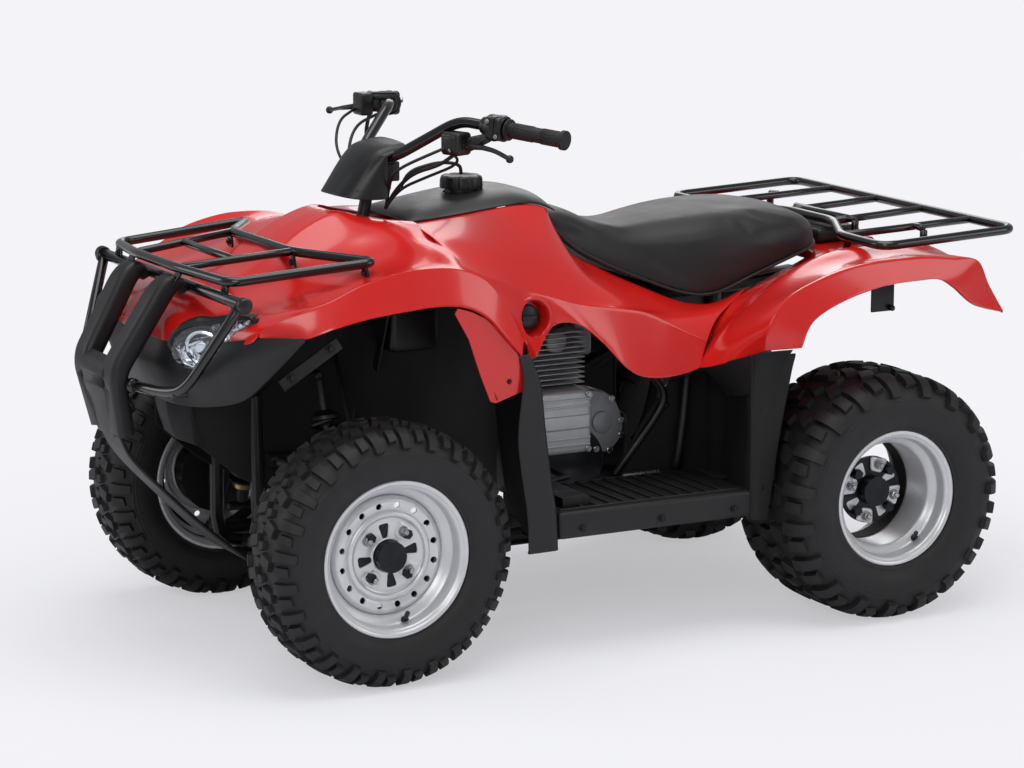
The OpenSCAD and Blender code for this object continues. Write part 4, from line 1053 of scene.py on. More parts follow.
@dataclass
class Panels:
    """Fenders, covers and fascia, each a thin sheet over a grid that blends its key lines."""
    wall: float = 3.2

    @staticmethod
    def soften(grid: Array, passes: int = 1) -> Array:
        """Rounds creases: each inner point moves to a quarter, a half and a quarter of its row, then of its
        column."""
        g = grid.copy()
        for _ in range(passes):
            g[:, 1:-1] = 0.25 * g[:, :-2] + 0.5 * g[:, 1:-1] + 0.25 * g[:, 2:]
            g[1:-1] = 0.25 * g[:-2] + 0.5 * g[1:-1] + 0.25 * g[2:]
        return g

    @staticmethod
    def lofted(lines: Sequence[Points], rows: int, spans: Sequence[int], sharp: Sequence[int] = ()) -> Array:
        """Grid through key lines: Catmull-Rom along each line, and Catmull-Rom across them between creases.

        Args:
            lines: the key lines, each from front to rear.
            rows: stations along the lines.
            spans: columns between each line and the next.
            sharp: numbers of the lines that are creases.

        Returns:
            The grid, rows by columns by 3.
        """
        t = np.linspace(0, 1, rows)
        key = np.stack([along(line, t) for line in lines])
        cuts = [0] + [k for k in sharp if 0 < k < len(lines) - 1] + [len(lines) - 1]
        columns = []
        for lo, hi in zip(cuts[:-1], cuts[1:]):
            group = key[lo:hi + 1]
            for k in range(hi - lo):
                a, b = group[max(k - 1, 0)], group[k]
                c, d = group[k + 1], group[min(k + 2, hi - lo)]
                count = spans[lo + k]
                for u in np.arange(count) / count:
                    columns.append(0.5 * (2 * b + (c - a) * u + (2 * a - 5 * b + 4 * c - d) * u ** 2
                                          + (3 * b - a - 3 * c + d) * u ** 3))
        columns.append(key[-1])
        return np.stack(columns, 1)

    @staticmethod
    def both(half: Array) -> Array:
        """A half grid from the middle out, with its mirror added on the other side."""
        return np.concatenate([(half * [-1, 1, 1])[:, :0:-1], half], 1)

    def front_fender(self) -> None:
        """Hood and both front wings in one moulding."""
        middle = fa([(0, -316, 650), (0, -306, 690), (0, -262, 726), (0, -190, 752), (0, -125, 770),
            (0, -58, 806),
                     (0, 10, 846), (0, 77, 867), (0, 130, 858), (0, 180, 851), (0, 198, 848)])
        ridge = fa([(100, -314, 650), (98, -303, 690), (94, -258, 724), (88, -186, 750), (80, -122, 768),
            (74, -62, 800),
                    (67, 5, 841), (60, 77, 866), (60, 130, 856), (60, 180, 845), (60, 200, 838)])
        flank = fa([(190, -296, 652), (186, -284, 692), (178, -238, 718), (172, -168, 737), (166, -106, 752),
            (160, -50, 772),
                    (150, 10, 800), (140, 77, 832), (136, 130, 846), (130, 180, 848), (124, 216, 846)])
        trough = fa([(280, -262, 660), (278, -250, 694), (276, -208, 716), (272, -146, 733), (270, -90, 746),
            (262, -40, 762),
                     (250, 20, 778), (236, 80, 798), (226, 130, 816), (214, 176, 828), (206, 214, 826)])
        shoulder = fa([(340, -238, 676), (344, -222, 700), (348, -176, 726), (352, -112, 744),
            (358, -50, 762), (362, 0, 774),
                       (362, 50, 784), (356, 104, 794), (346, 150, 801), (334, 186, 804), (322, 214, 798)])
        crest = fa([(352, -226, 692), (372, -194, 716), (396, -148, 736), (414, -100, 756), (426, -40, 784),
            (430, 40, 802),
                    (430, 110, 805), (430, 170, 797), (430, 222, 772), (429, 262, 728), (426, 304, 650)])
        edge = fa([(354, -222, 686), (384, -186, 682), (416, -150, 688), (440, -106, 706), (450, -40, 721),
            (450, 40, 729),
                   (450, 110, 733), (450, 168, 726), (450, 214, 702), (448, 254, 660), (444, 290, 622)])
        lip = edge + [(-6, 0, -2)]
        half = self.lofted([middle, ridge, flank, trough, shoulder, crest, edge, lip], 150,
            (10, 12, 12, 12, 14, 14, 3),
                           (1, 5, 6))
        grid = self.soften(self.both(half), 1)
        obj = make("front_fender_skin", shell(grid, -self.wall))
        well = block((112, 300, 300), 40, (0, FRONT_Y + 226, 850), 2)
        cut(obj, joined([well, self.lamp_body(4.0).pair()]))
        fit(obj, Body.CHASSIS, PANEL_RED, "front_fender")
        self.front_liner()

    def front_liner(self) -> None:
        """The wing's rear corner and the flange inside it, whose darker red is painted shade, and the black
        splash guard beside the frame, whose near-black is painted shade.
        """
        corner = [(-372, 724), (-345, 716), (-312, 700), (-268, 664), (-240, 626), (-226, 606), (-200, 560),
            (-208, 551),
                  (-280, 528), (-292, 532), (-318, 590), (-345, 660), (-378, 714)]
        outer = np.array([(424 + 0.10 * (z - 560), y, z) for y, z in corner])
        sheet = closed_grid(np.stack([outer - [3.2, 0, 0], outer]))
        piece("front_fender_corner", sheet.pair(), Body.CHASSIS, PANEL_RED)
        top = fa([(330, 196, 770), (332, 232, 742), (332, 270, 690), (330, 300, 640), (326, 330, 590),
            (322, 372, 536)])
        rear = fa([(424, 150, 730), (426, 180, 700), (424, 207, 655), (422, 222, 610), (421, 236, 560),
            (421, 246, 534)])
        grid = self.soften(self.lofted([top, rear], 40, (14,)), 1)
        # The inner flange's darker red is painted shade.
        piece("front_fender_liner", shell(grid, 2.6).pair(), Body.CHASSIS, PANEL_RED_PAINTED_SHADE)
        screws = joined([bolt(fa([(425, 292, 640)])[0], (1, 0, 0), 4.5),
            bolt(fa([(423, 272, 570)])[0], (1, 0, 0), 4.5)])
        piece("front_liner_screws", screws.pair(), Body.CHASSIS, DARK_STEEL)
        low = fa([(96, -250, 440), (98, -120, 340), (100, 0, 330), (100, 120, 340), (100, 236, 340),
            (96, 330, 280), (92, 420, 240)])
        high = fa([(88, -262, 640), (92, -120, 724), (94, 0, 742), (96, 120, 756), (98, 236, 764),
            (96, 330, 770), (92, 420, 770)])
        guard = self.lofted([low, high], 90, (30,))
        t, u = np.linspace(0, 1, 90)[:, None], np.linspace(0, 1, 31)[None, :]
        guard[..., 0] += 9 * np.sin(4 * np.pi * t) ** 2 * np.sin(np.pi * u) + 4 * smooth((u - 0.5) / 0.06)
        stay = [swept(fa([(290, -150, 575), (296, -30, 650)]), rounded_box(26, 4, 1), (0, 0, 1)),
                swept(fa([(150, 118, 560), (200, 122, 700)]), rounded_box(24, 4, 1), (1, 0, 0))]
        stays = [closed_grid(q) for q in stay] + [bolt(fa([p])[0], (1, 0, 0.2), 6) for p in ((294, -130, 590),
            (298, -50, 640))]
        box = block((70, 110, 90), 14, (150, FRONT_Y + 190, 640), 0)
        piece("front_fender_stays", joined(stays + [box]).pair(), Body.CHASSIS, CHASSIS_BLACK)
        cross = fa([(0, -262, 640), (0, -268, 560), (0, -262, 480), (0, -246, 430)])
        across = self.both(self.lofted([cross, cross + [96, 14, 0]], 40, (16,)))
        # Cross guard and splash guards: near-black painted shade.
        piece("front_cross_guard", shell(across, -3.0), Body.CHASSIS, PAINTED_SHADE_BLACK)
        piece("front_splash_guards", shell(guard, 3.0).pair(), Body.CHASSIS, PAINTED_SHADE_BLACK)

    @staticmethod
    def lamp_body(grow: float) -> Shape:
        """A headlamp's outline as a loft of ovals: big and low inside, small and high at its outer tip."""
        stations = fa([(168, -318, 632), (196, -300, 644), (226, -274, 652), (252, -258, 666),
            (280, -238, 690), (318, -212, 716)])
        t = np.linspace(0, 1, 20)
        centre = along(stations, t)
        size = along([(26.0, 26.0), (44.0, 44.0), (48.0, 48.0), (38.0, 38.0), (20.0, 18.0), (6.0, 6.0)],
            t) + grow
        path = unit(stations[-1] - stations[0])
        across = unit(np.cross(path, [0, 1, 0.35]))
        deep = np.cross(across, path)
        ring = circle(1.0, 32)
        grid = centre[:, None] + size[:, None, :1] * ring[None, :,
            :1] * across + (size[:, None, 1:] * 0.8) * ring[None, :, 1:] * deep
        return closed_grid(grid)

    def lamps(self) -> None:
        """Each headlamp: black bezel, metallised bowl, bulb shield, and a clear lens with flutes at the
        outer end."""
        stations = fa([(186, -322, 634), (203, -306, 644), (226, -279, 652), (250, -263, 665),
            (278, -243, 688), (316, -218, 714)])
        t = np.linspace(0, 1, 60)
        line = along(stations, t)
        half = along([(22.0,), (42.0,), (48.0,), (41.0,), (25.0,), (3.0,)], t)[:, :1]
        path = unit(np.gradient(line, axis=0))
        up = unit(np.cross(path, np.cross([0.0, -0.35, 1.0], path)))
        out = unit(np.cross(path, up))
        out *= np.sign(-out[:, 1:2])
        v = np.linspace(-1, 1, 25)[None, :, None]
        bulge = 15.0 * (1 - v ** 2)
        face = line[:, None] + up[:, None] * half[:, None] * v + out[:, None] * bulge
        flute = 1.5 * np.sin(line[:, 0] / 1.9)[:, None, None] * smooth((line[:, 0] - 246) / 8)[:, None, None]
        lens = face + out[:, None] * flute * (1 - np.abs(v) ** 6)
        piece("headlamp_lenses", shell(lens, 2.2).pair(), Body.CHASSIS, CLEAR_LENS, "headlamps")
        bowl = line[:, None] + up[:, None] * half[:, None] * v * 0.95 - out[:,
            None] * (4 + 34.0 * (1 - v ** 2)) \
            * np.sin(np.pi * np.clip(t * 1.02, 0, 1))[:, None, None] ** 0.5
        bowl = bowl + out[:, None] * 2.0 * np.sin(line[:, 0] / 2.2)[:, None,
            None] * smooth((line[:, 0] - 240) / 8)[:, None, None]
        piece("headlamp_bowls", shell(bowl, 1.5).pair(), Body.CHASSIS, REFLECTOR)
        at, aim = line[22], facing(out[22])
        shield = lathe([(-14, 0.01), (-14, 15), (-8, 17), (6, 14), (8, 10), (8, 0.01)], 32, "z")
        ring = lathe([(-3, 30), (-3, 35), (1, 36), (3, 33), (1, 29.5)], 48, "z")
        piece("headlamp_shields", joined([shield.moved(at, aim), ring.moved(at, aim)]).pair(), Body.CHASSIS,
            REFLECTOR)
        k = 1.0 + 4.0 / np.maximum(half, 9)
        rim = np.concatenate([line + up * half * k + out * 1, (line - up * half * k + out * 1)[::-1]])
        bezel = tube(rim, 5.0, (0, 1, 0), True, 10)
        cheek = shell(np.stack([line - up * half * f - out * d for f,
            d in ((1.04, 2), (1.18, 10), (1.24, 26))], 1), 3.0)
        brow = shell(np.stack([line + up * half * f - out * d for f, d in ((1.04, 2), (1.14, 9), (1.18, 24))],
            1), 3.0)
        piece("headlamp_bezels", joined([bezel, cheek, brow]).pair(), Body.CHASSIS, SMOOTH_BLACK)

    def fascia(self) -> None:
        """The black nose moulding below the lamps, which sweeps back under the wing's edge."""
        top = fa([(0, -314, 648), (120, -310, 648), (200, -296, 656), (290, -262, 672), (356, -222, 684),
            (424, -166, 689)])
        mid = fa([(0, -326, 600), (120, -322, 600), (205, -306, 602), (292, -270, 618), (362, -222, 650),
            (424, -164, 687)])
        low = fa([(0, -300, 524), (110, -296, 524), (196, -272, 530), (284, -232, 552), (352, -203, 606),
            (424, -162, 685)])
        half = self.lofted([top, mid, low], 70, (14, 16))
        grid = self.soften(self.both(half.transpose(1, 0, 2)), 2)
        obj = make("nose_fascia", shell(grid, self.wall))
        cut(obj, self.lamp_body(1.0).pair())
        fit(obj, Body.CHASSIS, GRAINED_BLACK, "headlamp_surround")

    def side_covers(self) -> None:
        """The red covers beside the tank and under the seat, with their creases and the round knob recess."""
        upper = np.concatenate([fa([(118, 214, 842), (127, 300, 850), (131, 390, 860), (130, 458, 864),
            (125, 510, 855),
                                    (120, 530, 828), (118, 560, 766), (118, 650, 716)]),
                                [(136, 200, 680), (168, 289, 642), (184, 357, 638), (188, 430, 664)]])
        crease = fa([(240, 206, 828), (250, 262, 820), (252, 330, 806), (244, 400, 790), (232, 460, 770),
            (224, 520, 742),
                     (222, 580, 704), (224, 650, 668), (226, 710, 646), (232, 760, 634), (240, 810, 626),
                     (250, 850, 622)])
        belt = fa([(340, 200, 796), (336, 250, 770), (322, 300, 750), (304, 350, 730), (292, 400, 712),
            (284, 460, 694),
                   (276, 520, 676), (272, 590, 664), (270, 660, 650), (272, 710, 628), (280, 755, 604),
                   (290, 800, 582)])
        lower = fa([(426, 312, 640), (384, 340, 606), (330, 384, 594), (300, 420, 622), (290, 452, 646),
            (290, 505, 640),
                    (290, 560, 598), (290, 610, 546), (290, 650, 522), (293, 700, 516), (298, 745, 521),
                    (302, 775, 530)])
        half = self.lofted([upper, crease, belt, lower], 150, (26, 22, 24), (2,))
        grid = self.soften(half, 2)
        obj = make("side_cover_left", shell(grid, -self.wall))
        centre = np.array([300.0, -133.0, 662.0])
        hole = rod(centre + [-60, 0, 0], centre + [80, 0, 0], 36, 48)
        cut(obj, hole)
        flat = np.empty(len(obj.data.vertices) * 3)
        obj.data.vertices.foreach_get("co", flat)
        shape = Shape(flat.reshape(-1, 3) / MM, [list(p.vertices) for p in obj.data.polygons])
        bpy.data.objects.remove(obj)
        piece("side_cover_skins", shape.pair(), Body.CHASSIS, PANEL_RED, "side_covers", sharp=45)
        cup = lathe([(-34, 0.01), (-34, 35), (4, 36.5), (7, 39), (8, 43), (5, 45.5), (0, 44), (-2, 38),
            (-30, 31.5), (-30, 0.01)], 64)
        piece("side_cover_cups", cup.moved(centre + [-6, 0, 0]).pair(), Body.CHASSIS, PANEL_RED)
        knob = lathe([(-30, 0.01), (-30, 26), (-14, 25), (-12, 22), (-12, 0.01)], 48)
        bar_shape = block((6, 34, 9), 2, (-10, 0, 0), 0)
        piece("side_cover_knobs", joined([knob, bar_shape]).moved(centre + [-6, 0, 0]).pair(), Body.CHASSIS,
            SMOOTH_BLACK)

    def rear_fender(self) -> None:
        """Rear wings and the deck between them; the wings' front ends run down ahead of the wheels."""
        middle = ra([(0, 20, 704), (0, 50, 716), (0, 120, 722), (0, 190, 722), (0, 215, 712), (0, 232, 700)])
        inner = ra([(130, 10, 705), (134, 60, 717), (136, 130, 722), (138, 190, 722), (140, 232, 702)])
        under = ra([(197, -259, 625), (203, -179, 660), (206, -105, 687), (208, -2, 714), (208, 80, 734),
            (210, 170, 735),
                    (214, 240, 714)])
        haunch = ra([(258, -304, 580), (262, -254, 626), (263, -180, 674), (264, -108, 708), (266, -20, 736),
            (268, 80, 747),
                     (270, 170, 746), (272, 250, 716)])
        shoulder = ra([(303, -356, 532), (312, -312, 592), (321, -250, 650), (331, -170, 706),
            (338, -80, 741), (342, 20, 756),
                       (346, 150, 754), (350, 258, 704)])
        crest = ra([(458, -292, 586), (462, -290, 630), (467, -262, 679), (470, -203, 714), (470, -86, 744),
            (470, 60, 750),
                    (470, 150, 741), (468, 212, 731), (464, 244, 676), (460, 282, 620)])
        edge = ra([(484, -224, 590), (487, -199, 641), (488, -128, 676), (488, -32, 699), (488, 60, 704),
            (488, 104, 702),
                   (484, 141, 682), (474, 200, 640), (464, 278, 617)])
        lip = edge + [(-7, 0, -1)]
        half = self.lofted([middle, inner, under, haunch, shoulder, crest, edge, lip], 150,
            (10, 8, 10, 12, 18, 12, 3), (1, 5, 6))
        grid = self.soften(self.both(half), 1)
        obj = make("rear_fender_skin", shell(grid, -self.wall))
        cut(obj, block((700, 200, 224), 20, (0, REAR_Y + 306, 612), 2))
        fit(obj, Body.CHASSIS, PANEL_RED, "rear_fender")

    def tank_cover(self) -> None:
        """The black cover over the tank."""
        line = fa([(118, 214, 844), (127, 300, 852), (131, 390, 862), (130, 458, 867), (126, 505, 860),
            (121, 538, 846)])
        t = np.linspace(0, 1, 50)
        e = along(line, t)[:, None]
        u = np.linspace(-1, 1, 49)[None, :, None]
        rise = 20 * (1 - np.abs(u) ** 3.5) * (1 - (2 * t[:, None, None] - 1) ** 4)
        grid = np.concatenate([e[..., :1] * u * 1.0, np.broadcast_to(e[..., 1:2] + 14 * t[:, None,
            None] * (1 - u ** 2), rise.shape), e[..., 2:] + 2 + rise], -1)
        obj = make("tank_cover_skin", shell(grid, -self.wall))
        cut(obj, rod((0, FRONT_Y + 388, 840), (0, FRONT_Y + 388, 940), 37, 48))
        fit(obj, Body.CHASSIS, SMOOTH_BLACK, "tank_cover")
        neck = lathe([(850, 0.01), (850, 34.5), (890, 34.5), (890, 40), (896, 40), (897, 34), (897, 0.01)],
            48, "z")
        piece("filler_neck", neck.moved((0, FRONT_Y + 388, 0)), Body.CHASSIS, SMOOTH_BLACK)
        a = np.linspace(0, 2 * np.pi, 192, endpoint=False)[:, None]
        rows = np.array([(888, 0.9), (888, 1.0), (892, 1.02), (906, 1.0), (911, 0.96), (913.5, 0.86),
            (913.5, 0.62), (911, 0.5),
                         (911, 0.01)])
        wave = 1 - 0.10 * smooth((np.cos(9 * a) - 0.2) / 0.6)
        r = 43.5 * rows[None, :, 1] * np.where(rows[None, :, 1] > 0.85, wave, 1.0)
        cap = np.stack([r * np.cos(a), r * np.sin(a), np.broadcast_to(rows[None, :, 0], r.shape)], -1)
        first = np.concatenate([np.zeros((192, 1, 2)), np.full((192, 1, 1), 888.0)], -1)
        cap = np.concatenate([first + [1e-3, 0, 0], cap], 1)
        piece("fuel_cap_top", closed_grid(cap, wrap_rows=True).moved((0, FRONT_Y + 388, 0)), Body.CHASSIS,
            SMOOTH_BLACK, "fuel_cap")
        vent = tube(rounded([(0, FRONT_Y + 388, 914), (0, FRONT_Y + 386, 936), (-6, FRONT_Y + 340, 942),
            (-20, FRONT_Y + 280, 926),
                             (-24, FRONT_Y + 262, 892)], 24, 8), 3.6, (1, 0, 0))
        piece("fuel_vent_hose", vent, Body.CHASSIS, SOFT_RUBBER)

    def footwells(self) -> None:
        """Footwells: ribbed step and skirt, the wall ahead of each rear wheel, its flange and the plate
        inside; the walls, flange, plate and cowls are near-black painted shade."""
        y0, back, low, deck = FRONT_Y + 378.3, REAR_Y - 306, 242.0, 297.0
        middle = (y0 + back) / 2
        obj = make("footwell_steps", block((244, back - y0, deck - low), 9, (314, middle, (deck + low) / 2),
            1).pair())
        cut(obj, block((300, back - y0 - 10, 90), 3, (281, middle, low + 5), 1).pair())
        fit(obj, Body.CHASSIS, GRAINED_BLACK, "footwells")
        plan = ra([(192, -268, 0), (245, -271, 0), (296, -279, 0), (312, -283, 0), (372, -297, 0),
            (436, -311, 0)])
        across = along(plan, np.linspace(0, 1, 60))[:, None]
        top = 528 + 42 * smooth((across[..., 0] - 296) / 180) * 1.6
        high = np.linspace(0, 1, 60)[None, :]
        z = low + (np.minimum(top, 570) - low) * high
        y = across[..., 1] + 16 * np.sin(np.pi * high) * smooth((across[...,
            0] - 192) / 60) * smooth((436 - across[..., 0]) / 60)
        wall = np.stack([np.broadcast_to(across[..., 0], z.shape), y, z], -1)
        parts = [shell(wall, -4.0)]
        rear = np.array([(568, -308, -214), (540, -308, -222), (507, -309, -229), (440, -310, -243),
            (375, -310, -255),
                         (320, -310, -263), (270, -309, -271), (236, -308, -277)])
        line = along(rear, np.linspace(0, 1, 50))[:, None]
        u = np.linspace(0, 1, 12)[None, :]
        face = np.stack([433 + 5 * smooth(u * 3) + 0 * line[..., 0],
            REAR_Y + line[..., 1] * (1 - u) + line[..., 2] * u,
                         line[..., 0] + 0 * u], -1)
        parts.append(shell(face, -4.0))
        hem = tube(np.stack([np.full(50, 436.0), REAR_Y + line[:, 0, 2], line[:, 0, 0]], -1), 3.2, (1, 0, 0),
            sides=10)
        parts.append(hem)
        # The plate inside is a near-black sheet where there is only shade: painted shade.
        ring = [(back + 2, low), (back + 2, deck - 6), (FRONT_Y + 640, deck - 6), (FRONT_Y + 699, 398),
            (FRONT_Y + 772, 486),
                (FRONT_Y + 800, 528), (REAR_Y - 266, 528), (REAR_Y - 266, low)]
        soft = looped([(0.0, y, z) for y, z in ring], 14, 5)
        parts.append(closed_grid(np.stack([soft + [x, 0, 0] for x in (192, 196)])))
        parts.append(block((112, 30, 6), 2, (246, back + 8, deck - 3), 0))
        # Walls, flange, hem and plate take near-black painted shade.
        piece("footwell_walls", joined(parts).pair(), Body.CHASSIS, PAINTED_SHADE_BLACK)
        high_line = np.array([(300, 256, 531), (352, 270, 546), (408, 290, 564), (456, 312, 581),
            (478, 360, 586)], float)
        mid_line = np.array([(299, 282, 512), (350, 284, 522), (402, 291, 538), (444, 304, 553),
            (452, 356, 556)], float)
        low_line = np.array([(298, 322, 468), (350, 308, 476), (400, 301, 486), (434, 299, 500),
            (438, 352, 514)], float)
        cowl = self.soften(self.lofted([high_line, mid_line, low_line], 60, (10, 12)), 1)
        # The cowls' near-black colour is painted shade.
        piece("footwell_cowls", shell(cowl, 3.0).pair(), Body.CHASSIS, PAINTED_SHADE_BLACK)
        ribs = [block((205, 9, 5), 2, (314, y0 + 66 + 32 * k, deck + 1.5), 0) for k in range(11)]
        ribs += [block((7, back - y0 - 20, 4), 1.5, (x, middle, deck + 1), 1) for x in (212, 414)]
        piece("footwell_ribs", joined(ribs).pair(), Body.CHASSIS, GRAINED_BLACK)
        studs = [bolt((438, FRONT_Y + y, 262), (1, 0, 0), 5) for y in (430, 610, 780)]
        studs += [bolt((437, REAR_Y - 290, z), (1, 0, 0), 4.5) for z in (300, 460)]
        piece("footwell_bolts", joined(studs).pair(), Body.CHASSIS, DARK_STEEL)

    def mudguards(self) -> None:
        """The flaps behind the front wheels, with a flange folded forward at the outer edge, ribs and a
        hem."""
        back = fa([(292, 314, 618), (292, 338, 560), (290, 350, 470), (290, 360, 385), (290, 372, 300),
            (290, 374, 225)])
        t = np.linspace(0, 1, 70)
        p = along(back, t)[:, None]
        u = np.linspace(0, 1, 48)[None, :, None]
        t = t[:, None, None]
        width, fold = 135 + 12 * t, 24 + 42 * smooth(2 * t)
        side = np.clip((u - 0.7) / 0.3, 0, 1)
        reach = 70 * smooth((p[..., 2:] - 236) / 60) * (1 - np.clip(u / 0.7, 0, 1))
        x = p[..., :1] + width * np.clip(u / 0.7, 0, 1) + 2 * side - reach
        ribs = 1.8 * np.exp(-((u - 0.32) / 0.02) ** 2) + 1.8 * np.exp(-((u - 0.10) / 0.02) ** 2)
        y = p[..., 1:2] - fold * side - ribs
        grid = self.soften(np.concatenate([x, y, np.broadcast_to(p[..., 2:], x.shape)], -1), 3)
        flaps = shell(grid, 3.2)
        hem = tube(grid[-1] + [0, -1.5, 2], 3.4, (0, 0, 1), sides=10)
        piece("front_mudguard_flaps", joined([flaps, hem]).pair(), Body.CHASSIS, GRAINED_BLACK, "mudguards")

    def rear_details(self) -> None:
        """The black box behind the seat, the tail lamp and small brackets."""
        box = block((156, 108, 29), 9, (0, REAR_Y + 128, 738), 2)
        lid = block((138, 90, 6), 3, (0, REAR_Y + 128, 752), 2)
        latch = rod((0, REAR_Y + 84, 748), (0, REAR_Y + 84, 758), 11, 28)
        piece("rear_tray_box", joined([box, lid, latch]), Body.CHASSIS, GRAINED_BLACK, "rear_tray")
        hook = joined([block((30, 92, 5), 2, (350, REAR_Y + 70, 684), 0),
            block((5, 56, 66), 2, (350, REAR_Y + 56, 652), 1),
                       rod((336, REAR_Y + 74, 626), (364, REAR_Y + 74, 626), 6),
                           rod((350, REAR_Y + 40, 684), (346, REAR_Y + 36, 752), 7),
                       rod((350, REAR_Y + 104, 684), (346, REAR_Y + 106, 752), 7),
                           rod((120, REAR_Y + 70, 690), (350, REAR_Y + 70, 686), 9)])
        piece("rear_wing_hooks", hook.pair(), Body.CHASSIS, CHASSIS_BLACK)
        lens = block((108, 28, 40), 8, (0, REAR_Y + 222, 702), 1)
        piece("tail_lamp_lens", lens, Body.CHASSIS, RED_LENS, "tail_lamp")

    def build(self) -> None:
        """Makes all the panels."""
        self.front_fender()
        self.lamps()
        self.fascia()
        self.side_covers()
        self.rear_fender()
        self.tank_cover()
        self.footwells()
        self.mudguards()
        self.rear_details()


# ---- Seat ----

@dataclass
class Seat:
    """The straddle seat: a crowned pad that a cloth simulation swells, then its piping."""
    stations: Array = field(default_factory=lambda: np.array([
        (-525 + 537, 841, 100, 808), (-525 + 585, 833, 112, 760), (-525 + 650, 804, 122, 722),
        (-525 + 725, 789, 139, 688),
        (289, 798, 168, 654), (357, 806, 184, 650), (450, 811, 188, 682), (543, 810, 184, 712),
        (586, 803, 172, 722),
        (620, 793, 146, 727), (646, 782, 106, 729), (668, 768, 58, 730)], float))

    def form(self) -> Shape:
        """The pad: across each station, a rounded-shoulder outline between its lower edge and its crown."""
        t = np.linspace(0, 1, 46)
        q = along(self.stations, t)
        y, top, w, low = (q[:, k:k + 1] for k in range(4))
        pan = np.maximum(low + 2, 697.5)
        h = top - low
        k = np.array([[-1.0, 0.985, 1.0, 1.012, 1.0, 0.965, 0.88, 0.72, 0.5, 0.25, 0.0]])
        v = np.array([[0.0, 0.0, 0.08, 0.3, 0.55, 0.76, 0.9, 0.965, 0.985, 0.995, 1.0]])
        x = w * k
        z = low + h * v
        x[:, :1], z[:, :1] = np.maximum(w - 36, w * 0.7), pan
        right = np.stack([x, np.broadcast_to(y, x.shape), z], -1)
        left = (right * [-1, 1, 1])[:, -2::-1]
        return closed_grid(np.concatenate([right, left], 1))

    def pad(self) -> None:
        """Makes the pad: remeshed, inflated as cloth with its underside and rim held, and smoothed once."""
        obj = make("seat_pad", self.form())
        remesh = obj.modifiers.new("remesh", "REMESH")
        remesh.mode, remesh.voxel_size, remesh.use_smooth_shade = "VOXEL", 7 * MM, True
        baked(obj)
        count = len(obj.data.vertices)
        flat = np.empty(count * 3)
        obj.data.vertices.foreach_get("co", flat)
        rest = flat.reshape(-1, 3).copy()
        normal = np.empty(count * 3)
        obj.data.vertices.foreach_get("normal", normal)
        facing_down = normal.reshape(-1, 3)[:, 2] < -0.3
        held = obj.vertex_groups.new(name="held")
        held.add(np.nonzero(facing_down)[0].tolist(), 1.0, "REPLACE")
        cloth = obj.modifiers.new("cloth", "CLOTH")
        cloth.settings.use_pressure = True
        cloth.settings.uniform_pressure_force = 3.0
        cloth.settings.vertex_group_mass = "held"
        cloth.settings.effector_weights.gravity = 0.0
        cloth.settings.tension_stiffness = cloth.settings.compression_stiffness = 18.0
        cloth.settings.shear_stiffness, cloth.settings.bending_stiffness = 8.0, 1.5
        cloth.settings.quality = 5
        for step in range(1, 17):
            bpy.context.scene.frame_set(step)
        graph = bpy.context.evaluated_depsgraph_get()
        solved = obj.evaluated_get(graph).to_mesh()
        moved = np.empty(count * 3)
        solved.vertices.foreach_get("co", moved)
        shift = moved.reshape(-1, 3) - rest
        size = np.linalg.norm(shift, axis=1, keepdims=True)
        shift *= np.minimum(1.0, 0.009 / np.maximum(size, 1e-9))
        obj.modifiers.clear()
        obj.data.vertices.foreach_set("co", (rest + shift).ravel())
        bpy.context.scene.frame_set(1)
        relax = obj.modifiers.new("relax", "SMOOTH")
        relax.factor, relax.iterations = 0.5, 6
        fine = obj.modifiers.new("fine", "SUBSURF")
        fine.levels = fine.render_levels = 1
        baked(obj)
        obj.data.polygons.foreach_set("use_smooth", np.ones(len(obj.data.polygons), bool))
        fit(obj, Body.CHASSIS, SEAT_VINYL, "seat")

    def piping(self) -> None:
        """The welt along each lower edge, where the cover is stapled to its base."""
        t = np.linspace(0.02, 0.985, 90)
        q = along(self.stations, t)
        line = np.stack([q[:, 2] + 3.0, q[:, 0], q[:, 3] + 8], -1)
        piece("seat_welt", tube(line, 3.0, (0, 0, 1), sides=10).pair(), Body.CHASSIS, SEAT_VINYL)

    def build(self) -> None:
        """Makes the seat."""
        self.pad()
        self.piping()


# ---- Steering ----

BAR_IN, BAR_OUT = fa([(158, 303, 1046)])[0], fa([(380, 414, 1025)])[0]
BAR_DIR = unit(BAR_OUT - BAR_IN)
BAR_NORMAL = unit(np.cross(BAR_DIR, [0, 0, 1]))
BAR_UP = np.cross(BAR_NORMAL, BAR_DIR)
BAR_FRAME = np.stack([BAR_NORMAL, BAR_UP, BAR_DIR], -1)


